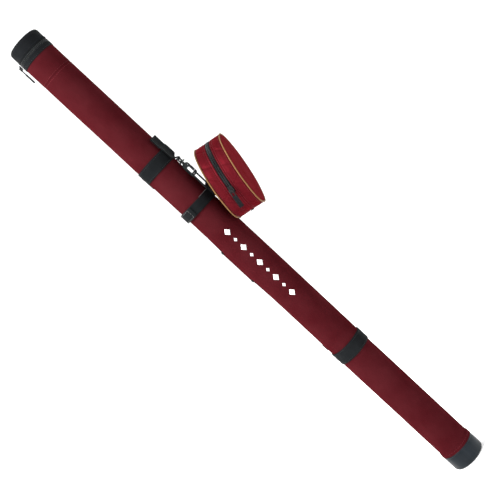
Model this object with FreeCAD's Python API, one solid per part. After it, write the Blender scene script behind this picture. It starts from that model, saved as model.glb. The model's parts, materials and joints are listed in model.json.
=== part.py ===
import FreeCAD, Part
import math
import os

# Rigid tube case, standing on its base cap.  Millimetres, +Z from the base to the lid.
# Origin: centre of the base cap's underside.  +X is the side that carries the round pouch.

V = FreeCAD.Vector
ORIGIN = V(0, 0, 0)
X_AXIS = V(1, 0, 0)
Y_AXIS = V(0, 1, 0)
Z_AXIS = V(0, 0, 1)

# ---- general clearances ----
SOFT_GAP = 0.3            # between bodies that move past each other
SMALL_GAP = 0.2           # inside the small metal fittings
PIN_GAP = 0.05            # a pin in its bore
FUSE_LAP = 0.5            # a stem or bridge let into the solid it grows from
EDGE_TOLERANCE = 0.01

# ---- tube ----
CASE_LENGTH = 848.0
TUBE_OD = 48.0
TUBE_WALL = 1.8
LINING_THICKNESS = 1.0
COVER_CLOTH = 1.0
BASE_PAD_THICKNESS = 6.0
COLLAR_SEAM_DROP = 64.6   # from the lid's top down to the stitched seam of the cover

# ---- base cap and hem ----
CAP_FLOOR = 3.0
CAP_WALL = 2.0
CAP_HEIGHT = 26.4
CAP_CORNER = 4.5
CAP_BEAD = 0.3
CAP_BEAD_HEIGHT = 1.8
HEM_HEIGHT = 8.1
HEM_THICKNESS = 1.3

# ---- mouth, zip and lid ----
LID_HEIGHT = 22.8         # zip line to the lid's top
ZIP_TAPE = 0.9
ZIP_TEETH = 0.8
ZIP_TEETH_HEIGHT = 1.15
ZIP_HALF_GAP = 0.15
MOUTH_DROP = 1.2          # zip line down to the tube's mouth
BINDING_TOP_DROP = 2.8
BINDING_HEIGHT = 6.4
BINDING_THICKNESS = 0.6
LID_SHELL_LIFT = 0.6
LID_SHELL_TOP = 2.0
LID_CLOTH = 1.2
LID_TAPE_HEIGHT = 3.8
LID_CORNER = 5.0
LID_BINDING_HEIGHT = 2.4
LID_BINDING_THICKNESS = 0.5
LID_PAD_THICKNESS = 1.5
LID_HINGE_AZIMUTH = 122.0
LID_HINGE_HALF_ARC = 38.0
LID_HINGE_STANDOFF = 0.2
LID_HINGE_INSET = 0.1     # panel off the tube, so that it can fold
LID_SLIDER_AZIMUTH = 180.0

# ---- zip sliders and pulls ----
SLIDER_GAP = 0.5
SLIDER_THICKNESS = 2.0
SLIDER_HALF_LENGTH = 4.5
SLIDER_HALF_HEIGHT = 3.0
SLIDER_CORNER = 1.8
BRIDGE_HEIGHT = 2.2
BRIDGE_HALF_LENGTH = 2.6
BRIDGE_HALF_WIDTH = 1.2
BRIDGE_CORNER = 0.45
PULL_WIRE = 0.7
PULL_PIVOT_DROP = 1.2
PULL_LINK_LENGTH = 12.0
PULL_LINK_HALF_WIDTH = 2.2
PULL_GRIP_THICKNESS = 2.2
PULL_GRIP_HALF_WIDTH = 3.1
PULL_GRIP_LAP = 2.5       # grip moulded over the end of its wire link
PULL_GRIP_CORNER = 0.88
LID_PULL_GRIP_LENGTH = 13.0
POUCH_PULL_GRIP_LENGTH = 16.0

# ---- webbing bands and carry handle ----
WEBBING = 1.3
BAND_WIDTH = 20.1
UPPER_BAND_LOW = 592.6
LOWER_BAND_LOW = 225.4
HANDLE_AZIMUTH = 112.0
HANDLE_WEBBING_WIDTH = 25.0
HANDLE_WIRE = 1.6
HANDLE_RING_HEIGHT = 12.0     # between bar centres, less the two wire radii
HANDLE_RING_SIDE_GAP = 1.0
UPPER_RING_LAP = 3.0          # ring top above the upper band's lower edge
LOWER_RING_RISE = 3.3         # ring bottom above the lower band
HANDLE_RING_RADIUS = 4.4      # from the cover out to the ring bars
HANDLE_BOW = 15.0             # from the cover out to the grip's centre
GRIP_LOW = 392.0
GRIP_LENGTH = 62.0
GRIP_THICKNESS = 8.0
GRIP_CORNER = 2.5
GRIP_WRAP = 0.8               # grip beyond each edge of the webbing
RING_TAB_LENGTH = 13.0

# ---- hook tab, swivel eye, snap hook and link ring ----
CHAIN_AZIMUTH = -25.0
TAB_WIDTH = 20.0
TAB_ABOVE_BAND = 20.3
TAB_STEP = 3.0                # tab still doubled above the band
TAB_LAP = 1.0                 # band's lower edge up to the tab's end
TAB_NECK_HEIGHT = 4.0
TAB_NECK_INSET = 0.15
TAB_LOOP_HALF_WIDTH = 2.5
EYE_WIRE = 1.1
EYE_DROP = 4.6                # band's lower edge down to the eye's bar
EYE_HEIGHT = 6.9              # eye's bar down to the middle of its plate
EYE_HALF_WIDTH = 3.9
EYE_PLATE = 2.2
EYE_PLATE_HALF_DEPTH = 3.0
SWIVEL_STEM = 1.2
SWIVEL_HEAD = 2.0
SWIVEL_HEAD_HEIGHT = 1.3
SWIVEL_BOSS = 2.4
HOOK_HALF_WIDTH = 5.05
HOOK_LIMB = 2.4
HOOK_HEIGHT = 21.6
HOOK_HOLE_HEIGHT = 12.2
HOOK_HALF_THICKNESS = 1.8
HOOK_CORNER = 3.6
HOOK_HOLE_CORNER = 1.6
HOOK_TUBE_GAP = 0.6
GATE_TONGUE = 0.8
GATE_GAP = 0.1                # gate to the hook's limb and slot
GATE_TONGUE_RISE = 1.0        # gate's free end up to its thin part
GATE_SHOULDER_DROP = 1.0      # hole's top down to the gate's shoulder
SLOT_DEPTH = 4.25             # from the outside of the limb inwards
SLOT_BELOW_SHOULDER = 1.5
SLOT_ABOVE_PIN = 2.6
GATE_LENGTH = 11.2
GATE_NOSE = 3.6               # hole's bottom up to the gate's free end
GATE_PIN = 0.5
LINK_WIRE = 1.2
LINK_INNER_HALF_WIDTH = 5.4
LINK_LENGTH = 25.0

# ---- pouch strap ----
STRAP_WIDTH = 15.0
STRAP_THICKNESS = 1.6
STRAP_BULGE_RADIUS = 15.0
STRAP_BULGE_REACH = 4.0       # how far the strap stands off the cover at the pouch
FLAP_THICKNESS = 1.4
FLAP_START = -180.0
FLAP_SWEEP = 68.0
LINK_TAB_HEIGHT = 13.0
LINK_TAB_DEPTH = 3.2

# ---- round pouch ----
POUCH_AZIMUTH = -5.0
POUCH_YAW = -6.5              # the pouch hangs turned a little towards the front
POUCH_LEAN = 12.8
POUCH_RADIUS = 55.5
POUCH_HALF_DEPTH = 19.3       # each cloth half, back or front
POUCH_ZIP_WIDTH = 4.0
POUCH_CLOTH = 2.0
POUCH_PAD = 2.0
POUCH_TAPE = 1.6
POUCH_TEETH = 1.2
PIPING_RADIUS = 1.5
PIPING_INSET = 1.0
POUCH_HINGE_ANGLE = 53.0
POUCH_HINGE_HALF_ARC = 35.0
POUCH_SLIDER_ANGLE = 11.0
POUCH_HINGE_STANDOFF = 0.1
BELT_LOOP_HALF_WIDTH = 4.2
BELT_LOOP_SHIFT = 1.8         # sideways, clear of the link ring
BELT_LOOP_STANDOFF = 1.2
BELT_LOOP_REACH_UP = 21.0
BELT_LOOP_REACH_DOWN = 24.0
BELT_LOOP_STRAP_GAP = 4.5
BELT_LOOP_TOP_SLOPE = 4.0     # outer corner down to the inner corner
BELT_LOOP_BOTTOM_SLOPE = 6.0
BELT_LOOP_SEW_LAP = 2.0       # cut back to the pouch's back face

# ---- worked out from the values above ----
tube_r = TUBE_OD / 2
bore_r = tube_r - TUBE_WALL
lining_r = bore_r - LINING_THICKNESS
cover_r = tube_r + COVER_CLOTH
cap_r = tube_r + CAP_WALL
zip_z = CASE_LENGTH - LID_HEIGHT
mouth_z = zip_z - MOUTH_DROP
binding_high = zip_z - BINDING_TOP_DROP
binding_low = binding_high - BINDING_HEIGHT
collar_seam_z = CASE_LENGTH - COLLAR_SEAM_DROP
tape_r = tube_r + ZIP_TAPE
teeth_r = tape_r + ZIP_TEETH
zip_low = zip_z - ZIP_HALF_GAP
zip_high = zip_z + ZIP_HALF_GAP
lid_r = tube_r + LID_CLOTH
lid_tape_top = zip_z + LID_TAPE_HEIGHT
lid_hinge_r = max(teeth_r, lid_r + LID_BINDING_THICKNESS) + LID_HINGE_STANDOFF
lid_zip_start = LID_HINGE_AZIMUTH + LID_HINGE_HALF_ARC
lid_zip_sweep = 360.0 - 2 * LID_HINGE_HALF_ARC
band_r = cover_r + WEBBING
band_2_r = band_r + WEBBING
upper_band_high = UPPER_BAND_LOW + BAND_WIDTH
lower_band_high = LOWER_BAND_LOW + BAND_WIDTH
handle_ring_r = cover_r + HANDLE_RING_RADIUS
handle_bow_r = cover_r + HANDLE_BOW
handle_half_width = HANDLE_WEBBING_WIDTH / 2
handle_ring_half_width = handle_half_width + HANDLE_RING_SIDE_GAP + HANDLE_WIRE
handle_bar_spacing = HANDLE_RING_HEIGHT - 2 * HANDLE_WIRE
grip_high = GRIP_LOW + GRIP_LENGTH

# chain of hook parts, from the band downwards
chain_r = cover_r + HOOK_TUBE_GAP + HOOK_HALF_WIDTH
eye_z = UPPER_BAND_LOW - EYE_DROP
eye_plate_z = eye_z - EYE_HEIGHT
hook_high = eye_plate_z - EYE_PLATE / 2 - SMALL_GAP - SWIVEL_BOSS
hook_low = hook_high - HOOK_HEIGHT
hook_hole_low = hook_low + HOOK_LIMB
hook_hole_high = hook_hole_low + HOOK_HOLE_HEIGHT
gate_low = hook_hole_low + GATE_NOSE
gate_pivot_z = gate_low + GATE_LENGTH
gate_pivot_r = chain_r + HOOK_HALF_WIDTH - HOOK_LIMB / 2
gate_shoulder_z = hook_hole_high - GATE_SHOULDER_DROP
link_high = hook_hole_low + SOFT_GAP + LINK_WIRE
link_low = link_high - LINK_LENGTH
strap_high = link_low - LINK_WIRE - SMALL_GAP - WEBBING
strap_low = strap_high - STRAP_WIDTH
strap_mid = (strap_high + strap_low) / 2
strap_r = cover_r + SOFT_GAP
strap_bulge_x = cover_r + STRAP_BULGE_REACH - STRAP_BULGE_RADIUS

# drum frame of the pouch: its Z runs out of the pouch, angle 0 is the side, 90 is the bottom
pouch_depth = 2 * POUCH_HALF_DEPTH + POUCH_ZIP_WIDTH
pouch_zip_u = pouch_depth / 2
pouch_inner_r = POUCH_RADIUS - POUCH_CLOTH
pouch_tape_r = pouch_inner_r + POUCH_TAPE
pouch_teeth_r = pouch_tape_r + POUCH_TEETH
piping_reach = POUCH_RADIUS + PIPING_RADIUS
pouch_hinge_r = piping_reach + POUCH_HINGE_STANDOFF
lean = math.radians(POUCH_LEAN)
pouch_back_x = (cover_r + SOFT_GAP + PIPING_RADIUS + POUCH_RADIUS * math.sin(lean)
                - PIPING_INSET * math.cos(lean))
pouch_back_z = strap_mid
pouch_zip_start = POUCH_HINGE_ANGLE + POUCH_HINGE_HALF_ARC
pouch_zip_sweep = 360.0 - 2 * POUCH_HINGE_HALF_ARC


# ---- building blocks ----
def cylinder(radius, low, high):
    return Part.makeCylinder(radius, high - low, V(0, 0, low))


def ring(inner, outer, low, high):
    return cylinder(outer, low, high).cut(cylinder(inner, low, high))


def ring_arc(inner, outer, low, high, start, sweep):
    arc = Part.makeCylinder(outer, high - low, V(0, 0, low), Z_AXIS, sweep)
    arc = arc.cut(cylinder(inner, low, high))
    arc.rotate(ORIGIN, Z_AXIS, start)
    return arc


def turned(shape, azimuth):
    copy = shape.copy()
    copy.rotate(ORIGIN, Z_AXIS, azimuth)
    return copy


def block(near, far, half_width, low, high):
    return Part.makeBox(far - near, 2 * half_width, high - low, V(near, -half_width, low))


def rounded_block(near, far, half_width, low, high, radius):
    solid = block(near, far, half_width, low, high)
    edges = []
    for edge in solid.Edges:
        run = edge.Vertexes[1].Point.sub(edge.Vertexes[0].Point)
        if abs(run.y) > half_width:
            edges.append(edge)
    return solid.makeFillet(radius, edges)


def cross_bar(x, z, radius, half_length):
    return Part.makeCylinder(radius, 2 * half_length, V(x, -half_length, z), Y_AXIS)


def prism(points, half_width):
    corners = [V(x, -half_width, z) for x, z in points]
    face = Part.Face(Part.makePolygon(corners + corners[:1]))
    return face.extrude(V(0, 2 * half_width, 0))


def wire_frame(x, low, high, half_width, wire):
    pieces = [cross_bar(x, low, wire, half_width), cross_bar(x, high, wire, half_width)]
    for side in (-half_width, half_width):
        pieces.append(Part.makeCylinder(wire, high - low, V(x, side, low)))
        pieces.append(Part.makeSphere(wire, V(x, side, low)))
        pieces.append(Part.makeSphere(wire, V(x, side, high)))
    return pieces[0].multiFuse(pieces[1:]).removeSplitter()


# ---- tube, lining, cover and base ----
def make_base_cap():
    outside = cylinder(cap_r, 0, CAP_HEIGHT)
    bottom_edge = [e for e in outside.Edges if len(e.Vertexes) == 1 and e.BoundBox.ZMax < EDGE_TOLERANCE]
    outside = outside.makeFillet(CAP_CORNER, bottom_edge)
    bead = cylinder(cap_r + CAP_BEAD, CAP_HEIGHT - CAP_BEAD_HEIGHT, CAP_HEIGHT)
    return outside.fuse(bead).cut(cylinder(tube_r, CAP_FLOOR, CAP_HEIGHT)).removeSplitter()


def tube_nodes():
    pad_top = CAP_FLOOR + BASE_PAD_THICKNESS
    return {
        "base_cap": make_base_cap(),
        "base_pad": cylinder(bore_r, CAP_FLOOR, pad_top),
        "inner_tube": ring(bore_r, tube_r, CAP_FLOOR, mouth_z),
        "tube_lining": ring(lining_r, bore_r, pad_top, mouth_z),
        "tube_cover": ring(tube_r, cover_r, CAP_HEIGHT, collar_seam_z),
        "cover_collar": ring(tube_r, cover_r, collar_seam_z, binding_low),
        "cover_hem": ring(cover_r, cover_r + HEM_THICKNESS, CAP_HEIGHT, CAP_HEIGHT + HEM_HEIGHT),
        "upper_band": ring(cover_r, band_r, UPPER_BAND_LOW, upper_band_high),
        "lower_band": ring(cover_r, band_r, LOWER_BAND_LOW, lower_band_high),
    }


# ---- mouth, zip and lid ----
def mouth_nodes():
    tape = ring_arc(tube_r, tape_r, binding_low, zip_low, lid_zip_start, lid_zip_sweep)
    teeth = ring_arc(tape_r, teeth_r, zip_low - ZIP_TEETH_HEIGHT, zip_low, lid_zip_start, lid_zip_sweep)
    hinge = ring_arc(tube_r + LID_HINGE_INSET, tape_r, binding_low, lid_tape_top,
                     LID_HINGE_AZIMUTH - LID_HINGE_HALF_ARC, 2 * LID_HINGE_HALF_ARC)
    return {
        "mouth_binding": ring(tape_r, tape_r + BINDING_THICKNESS, binding_low, binding_high),
        "lid_zip_lower_tape": tape,
        "lid_zip_lower_teeth": teeth,
        "lid_hinge_panel": hinge,
    }


def make_lid_cover():
    outside = cylinder(lid_r, lid_tape_top, CASE_LENGTH)
    top_edge = [e for e in outside.Edges
                if len(e.Vertexes) == 1 and e.BoundBox.ZMin > CASE_LENGTH - EDGE_TOLERANCE]
    outside = outside.makeFillet(LID_CORNER, top_edge)
    return outside.cut(make_lid_block())


def make_lid_block():
    inside_top = CASE_LENGTH - LID_CLOTH
    solid = cylinder(tube_r, zip_z + LID_SHELL_LIFT, inside_top)
    top_edge = [e for e in solid.Edges
                if len(e.Vertexes) == 1 and e.BoundBox.ZMin > inside_top - EDGE_TOLERANCE]
    return solid.makeFillet(LID_CORNER - LID_CLOTH, top_edge)


def lid_nodes():
    shell_top = CASE_LENGTH - LID_CLOTH - LID_SHELL_TOP
    shell = make_lid_block().cut(cylinder(bore_r, zip_z, shell_top))
    tape = ring_arc(tube_r, tape_r, zip_high, lid_tape_top, lid_zip_start, lid_zip_sweep)
    teeth = ring_arc(tape_r, teeth_r, zip_high, zip_high + ZIP_TEETH_HEIGHT, lid_zip_start, lid_zip_sweep)
    binding = ring(lid_r, lid_r + LID_BINDING_THICKNESS, lid_tape_top, lid_tape_top + LID_BINDING_HEIGHT)
    return {
        "lid_shell": shell,
        "lid_cover": make_lid_cover(),
        "lid_pad": cylinder(bore_r, shell_top - LID_PAD_THICKNESS, shell_top),
        "lid_binding": binding,
        "lid_zip_upper_tape": tape,
        "lid_zip_upper_teeth": teeth,
    }


# ---- a zip slider with its pull, built at azimuth 0 with the pull hanging down ----
def slider_pieces(chain_outer, zip_height, grip_length, pull_turn):
    near = chain_outer + SLIDER_GAP
    far = near + SLIDER_THICKNESS
    body = Part.makeBox(far - near, 2 * SLIDER_HALF_LENGTH, 2 * SLIDER_HALF_HEIGHT,
                        V(near, -SLIDER_HALF_LENGTH, zip_height - SLIDER_HALF_HEIGHT))
    corners = [e for e in body.Edges
               if abs(e.Vertexes[1].Point.x - e.Vertexes[0].Point.x) > SLIDER_THICKNESS / 2]
    body = body.makeFillet(SLIDER_CORNER, corners)
    pivot_x = far + BRIDGE_HEIGHT / 2
    pivot_z = zip_height - PULL_PIVOT_DROP
    bridge = rounded_block(far - FUSE_LAP, far + BRIDGE_HEIGHT, BRIDGE_HALF_WIDTH,
                           pivot_z - BRIDGE_HALF_LENGTH, pivot_z + BRIDGE_HALF_LENGTH, BRIDGE_CORNER)
    bridge = bridge.cut(cross_bar(pivot_x, pivot_z, PULL_WIRE + SMALL_GAP, 2 * BRIDGE_HALF_WIDTH))
    link_end = pivot_z - PULL_LINK_LENGTH
    link = wire_frame(pivot_x, link_end, pivot_z, PULL_LINK_HALF_WIDTH, PULL_WIRE)
    half_grip = PULL_GRIP_THICKNESS / 2
    grip = rounded_block(pivot_x - half_grip, pivot_x + half_grip, PULL_GRIP_HALF_WIDTH,
                         link_end - grip_length, link_end + PULL_GRIP_LAP, PULL_GRIP_CORNER)
    grip = grip.cut(link)
    turn_centre = V(0, 0, pivot_z)
    for piece in (bridge, link, grip):
        piece.rotate(turn_centre, X_AXIS, pull_turn)
    return body.fuse(bridge), link, grip


def lid_slider_nodes():
    slider, link, grip = slider_pieces(teeth_r, zip_z, LID_PULL_GRIP_LENGTH, 0)
    return {
        "lid_zip_slider": turned(slider, LID_SLIDER_AZIMUTH),
        "lid_pull_link": turned(link, LID_SLIDER_AZIMUTH),
        "lid_pull_grip": turned(grip, LID_SLIDER_AZIMUTH),
    }


# ---- carry handle on the back ----
def handle_nodes():
    upper_bar = UPPER_BAND_LOW - HANDLE_RING_HEIGHT + HANDLE_WIRE + UPPER_RING_LAP
    lower_bar = lower_band_high + LOWER_RING_RISE + HANDLE_WIRE
    upper_top_bar = upper_bar + handle_bar_spacing
    lower_top_bar = lower_bar + handle_bar_spacing
    frames = {}
    for name, low_bar in (("upper_handle_ring", upper_bar), ("lower_handle_ring", lower_bar)):
        frames[name] = wire_frame(handle_ring_r, low_bar, low_bar + handle_bar_spacing,
                                  handle_ring_half_width, HANDLE_WIRE)
    half = WEBBING / 2
    outline = [(handle_ring_r, upper_bar), (handle_bow_r, grip_high), (handle_bow_r, GRIP_LOW),
               (handle_ring_r, lower_top_bar)]
    inside = [(x - half, z) for x, z in outline]
    outside = [(x + half, z) for x, z in outline]
    strap = prism(inside + outside[::-1], handle_half_width)
    wrap = HANDLE_WIRE + WEBBING
    for bar_z in (upper_bar, lower_top_bar):
        strap = strap.fuse(cross_bar(handle_ring_r, bar_z, wrap, handle_half_width))
    for bar_z in (upper_bar, lower_top_bar):
        strap = strap.cut(cross_bar(handle_ring_r, bar_z, HANDLE_WIRE, handle_half_width))
    half_grip = GRIP_THICKNESS / 2
    grip = rounded_block(handle_bow_r - half_grip, handle_bow_r + half_grip,
                         handle_half_width + GRIP_WRAP, GRIP_LOW, grip_high, GRIP_CORNER)
    grip = grip.cut(strap)
    tab_wrap = HANDLE_WIRE + SOFT_GAP + WEBBING
    tabs = {}
    for name, bar_z, direction in (("upper_ring_tab", upper_top_bar, 1), ("lower_ring_tab", lower_bar, -1)):
        low, high = sorted((bar_z, bar_z + direction * RING_TAB_LENGTH))
        sheet = ring(band_r, band_2_r, low, high)
        sheet = sheet.common(block(0, 2 * cover_r, handle_half_width, low, high))
        tab = sheet.fuse(cross_bar(handle_ring_r, bar_z, tab_wrap, handle_half_width))
        tab = tab.cut(cross_bar(handle_ring_r, bar_z, HANDLE_WIRE + SOFT_GAP, handle_half_width))
        tabs[name] = tab.cut(cylinder(cover_r, 0, CASE_LENGTH))
    nodes = dict(frames)
    nodes["handle_strap"] = strap
    nodes["handle_grip"] = grip
    nodes.update(tabs)
    nodes = {name: turned(shape, HANDLE_AZIMUTH) for name, shape in nodes.items()}
    bands = (ring(cover_r, band_r, UPPER_BAND_LOW, upper_band_high),
             ring(cover_r, band_r, LOWER_BAND_LOW, lower_band_high))
    for name in tabs:
        for band in bands:
            nodes[name] = nodes[name].cut(band)
    return nodes


# ---- hook tab, swivel eye, snap hook, gate ----
def make_hook_tab():
    half_arc = math.degrees(TAB_WIDTH / 2 / band_r)
    step_high = upper_band_high + TAB_STEP
    sheet_low = UPPER_BAND_LOW + TAB_LAP
    over_band = ring_arc(band_r, band_2_r, sheet_low, step_high, -half_arc, 2 * half_arc)
    on_cover = ring_arc(cover_r, band_2_r, upper_band_high, step_high, -half_arc, 2 * half_arc)
    top = ring_arc(cover_r, band_r, step_high, upper_band_high + TAB_ABOVE_BAND, -half_arc, 2 * half_arc)
    loop_outer = EYE_WIRE + SOFT_GAP + WEBBING
    neck_r = band_r + TAB_NECK_INSET
    neck_high = sheet_low + TAB_NECK_HEIGHT
    neck = prism([(neck_r, neck_high), (band_2_r, neck_high), (chain_r, eye_z + loop_outer),
                  (chain_r, eye_z), (chain_r - loop_outer, eye_z), (neck_r, sheet_low)],
                 TAB_LOOP_HALF_WIDTH)
    loop = cross_bar(chain_r, eye_z, loop_outer, TAB_LOOP_HALF_WIDTH)
    tab = over_band.multiFuse([on_cover, top, neck, loop])
    tab = tab.cut(cross_bar(chain_r, eye_z, EYE_WIRE + SOFT_GAP, 2 * TAB_LOOP_HALF_WIDTH))
    return tab.cut(cylinder(band_r, 0, upper_band_high)).removeSplitter()


def make_swivel_eye():
    bars = wire_frame(chain_r, eye_plate_z, eye_z, EYE_HALF_WIDTH, EYE_WIRE)
    plate = block(chain_r - EYE_PLATE_HALF_DEPTH, chain_r + EYE_PLATE_HALF_DEPTH, EYE_HALF_WIDTH + EYE_WIRE,
                  eye_plate_z - EYE_PLATE / 2, eye_plate_z + EYE_PLATE / 2)
    hole = Part.makeCylinder(SWIVEL_STEM + PIN_GAP, 2 * EYE_PLATE, V(chain_r, 0, eye_plate_z - EYE_PLATE))
    return bars.fuse(plate).cut(hole)


def make_snap_hook():
    inner_half = HOOK_HALF_WIDTH - HOOK_LIMB
    hook = rounded_block(chain_r - HOOK_HALF_WIDTH, chain_r + HOOK_HALF_WIDTH, HOOK_HALF_THICKNESS,
                         hook_low, hook_high, HOOK_CORNER)
    hole = rounded_block(chain_r - inner_half, chain_r + inner_half, 2 * HOOK_HALF_THICKNESS,
                         hook_hole_low, hook_hole_high, HOOK_HOLE_CORNER)
    outside = chain_r + HOOK_HALF_WIDTH
    gap = block(chain_r + inner_half - FUSE_LAP, outside + FUSE_LAP, 2 * HOOK_HALF_THICKNESS,
                gate_low - SMALL_GAP, gate_shoulder_z + SMALL_GAP)
    slot = block(outside - SLOT_DEPTH, outside + FUSE_LAP, GATE_TONGUE + GATE_GAP,
                 gate_shoulder_z - SLOT_BELOW_SHOULDER, gate_pivot_z + SLOT_ABOVE_PIN)
    pin_hole = cross_bar(gate_pivot_r, gate_pivot_z, GATE_PIN, HOOK_HALF_THICKNESS)
    hook = hook.cut(hole).cut(gap).cut(slot).cut(pin_hole)
    head_low = eye_plate_z + EYE_PLATE / 2 + SMALL_GAP
    root = V(chain_r, 0, hook_high - FUSE_LAP)
    stem = Part.makeCylinder(SWIVEL_STEM, head_low - hook_high + FUSE_LAP, root)
    boss = Part.makeCylinder(SWIVEL_HEAD, SWIVEL_BOSS + FUSE_LAP, root)
    head = Part.makeCylinder(SWIVEL_HEAD, SWIVEL_HEAD_HEIGHT, V(chain_r, 0, head_low))
    return hook.multiFuse([stem, boss, head])


def make_gate():
    inner_half = HOOK_HALF_WIDTH - HOOK_LIMB
    inside = chain_r + inner_half + GATE_GAP
    outside = chain_r + HOOK_HALF_WIDTH
    body = block(inside, outside, HOOK_HALF_THICKNESS,
                 gate_low, gate_shoulder_z - SMALL_GAP)
    tongue = block(inside, outside, GATE_TONGUE,
                   gate_low + GATE_TONGUE_RISE, gate_pivot_z)
    eye = cross_bar(gate_pivot_r, gate_pivot_z, (HOOK_LIMB - GATE_GAP) / 2, GATE_TONGUE)
    bore = cross_bar(gate_pivot_r, gate_pivot_z, GATE_PIN + PIN_GAP, 2 * GATE_TONGUE)
    return body.multiFuse([tongue, eye]).cut(bore)


def chain_nodes():
    pieces = {
        "hook_tab": make_hook_tab(),
        "swivel_eye": make_swivel_eye(),
        "snap_hook": make_snap_hook(),
        "gate_pin": cross_bar(gate_pivot_r, gate_pivot_z, GATE_PIN, HOOK_HALF_THICKNESS),
        "hook_gate": make_gate(),
        "link_ring": wire_frame(chain_r, link_low, link_high, LINK_INNER_HALF_WIDTH + LINK_WIRE, LINK_WIRE),
    }
    return {name: turned(shape, CHAIN_AZIMUTH) for name, shape in pieces.items()}


# ---- pouch strap: round the tube, standing off it where the pouch's belt loop goes through ----
def strap_outline_solid(extra):
    big = strap_r + extra
    small = STRAP_BULGE_RADIUS + extra
    touch = math.acos((big - small) / strap_bulge_x)
    corners = []
    for radius, centre, side in ((big, 0, -1), (small, strap_bulge_x, -1),
                                 (small, strap_bulge_x, 1), (big, 0, 1)):
        corners.append(V(centre + radius * math.cos(touch), side * radius * math.sin(touch), strap_low))
    flank = Part.Face(Part.makePolygon(corners + corners[:1])).extrude(V(0, 0, STRAP_WIDTH))
    bulge = cylinder(small, strap_low, strap_high)
    bulge.translate(V(strap_bulge_x, 0, 0))
    return cylinder(big, strap_low, strap_high).multiFuse([flank, bulge]).removeSplitter()


def strap_nodes():
    outside = turned(strap_outline_solid(STRAP_THICKNESS), POUCH_AZIMUTH)
    strap = outside.cut(turned(strap_outline_solid(0), POUCH_AZIMUTH))
    flap_r = strap_r + STRAP_THICKNESS
    flap = ring_arc(flap_r, flap_r + FLAP_THICKNESS, strap_low, strap_high, FLAP_START, FLAP_SWEEP)
    loop_inner = LINK_WIRE + SMALL_GAP
    half_width = LINK_INNER_HALF_WIDTH - SOFT_GAP
    sheet = block(chain_r - LINK_TAB_DEPTH, chain_r, half_width, strap_high - LINK_TAB_HEIGHT, link_low)
    tab = sheet.fuse(cross_bar(chain_r, link_low, loop_inner + WEBBING, half_width))
    tab = tab.cut(cross_bar(chain_r, link_low, loop_inner, 2 * half_width))
    return {
        "pouch_strap": strap,
        "strap_flap": flap,
        "link_tab": turned(tab, CHAIN_AZIMUTH).cut(outside),
    }


# ---- round pouch, built in its drum frame ----
DRUM_TO_POUCH = FreeCAD.Matrix(0, 0, 1, 0,
                               -1, 0, 0, 0,
                               0, -1, 0, 0,
                               0, 0, 0, 1)


def hung(shape):
    placed = shape.copy()
    placed.transformShape(DRUM_TO_POUCH)
    placed.rotate(ORIGIN, Y_AXIS, POUCH_LEAN)
    placed.rotate(ORIGIN, Z_AXIS, POUCH_YAW)
    placed.translate(V(pouch_back_x, 0, pouch_back_z))
    placed.rotate(ORIGIN, Z_AXIS, POUCH_AZIMUTH)
    return placed


def piping_ring(height):
    return Part.makeTorus(POUCH_RADIUS, PIPING_RADIUS, V(0, 0, height))


def pouch_half(is_back):
    mid = pouch_zip_u
    inset = pouch_depth - PIPING_INSET
    low, high = (0, POUCH_HALF_DEPTH) if is_back else (pouch_depth - POUCH_HALF_DEPTH, pouch_depth)
    hollow_low = POUCH_CLOTH if is_back else low
    hollow_high = high if is_back else pouch_depth - POUCH_CLOTH
    piping = piping_ring(PIPING_INSET if is_back else inset)
    cloth = cylinder(POUCH_RADIUS, low, high).cut(cylinder(pouch_inner_r, hollow_low, hollow_high))
    cloth = cloth.cut(piping)
    pad_low = POUCH_CLOTH if is_back else pouch_depth - POUCH_CLOTH - POUCH_PAD
    pad = cylinder(pouch_inner_r, pad_low, pad_low + POUCH_PAD)
    tape_low, tape_high = (high, mid - ZIP_HALF_GAP) if is_back else (mid + ZIP_HALF_GAP, low)
    tape = ring_arc(pouch_inner_r, pouch_tape_r, tape_low, tape_high, pouch_zip_start, pouch_zip_sweep)
    teeth_low = tape_high - ZIP_TEETH_HEIGHT if is_back else tape_low
    teeth = ring_arc(pouch_tape_r, pouch_teeth_r, teeth_low, teeth_low + ZIP_TEETH_HEIGHT,
                     pouch_zip_start, pouch_zip_sweep)
    return cloth, piping, pad, tape, teeth


def make_belt_loop():
    slope = math.tan(lean)
    near = cover_r + BELT_LOOP_STANDOFF

    def on_back(z):
        return pouch_back_x + (z - pouch_back_z) * slope

    high = strap_high + BELT_LOOP_STRAP_GAP
    low = strap_low - BELT_LOOP_STRAP_GAP
    top = pouch_back_z + BELT_LOOP_REACH_UP
    bottom = pouch_back_z - BELT_LOOP_REACH_DOWN
    outer = [(near, high), (on_back(top), top), (on_back(top) + BELT_LOOP_SEW_LAP, top),
             (on_back(bottom) + BELT_LOOP_SEW_LAP, bottom), (on_back(bottom), bottom), (near, low)]
    cloth = WEBBING
    inner_top = top - BELT_LOOP_TOP_SLOPE
    inner_bottom = bottom + BELT_LOOP_BOTTOM_SLOPE
    inner = [(near + cloth, high - cloth), (on_back(inner_top) - cloth, inner_top),
             (on_back(inner_bottom) - cloth, inner_bottom), (near + cloth, low + cloth)]
    loop = prism(outer, BELT_LOOP_HALF_WIDTH).cut(prism(inner, BELT_LOOP_HALF_WIDTH))
    loop.translate(V(0, BELT_LOOP_SHIFT, 0))
    pouch_space = hung(cylinder(2 * POUCH_RADIUS, 0, pouch_depth))
    return turned(loop, POUCH_AZIMUTH).cut(pouch_space)


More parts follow.
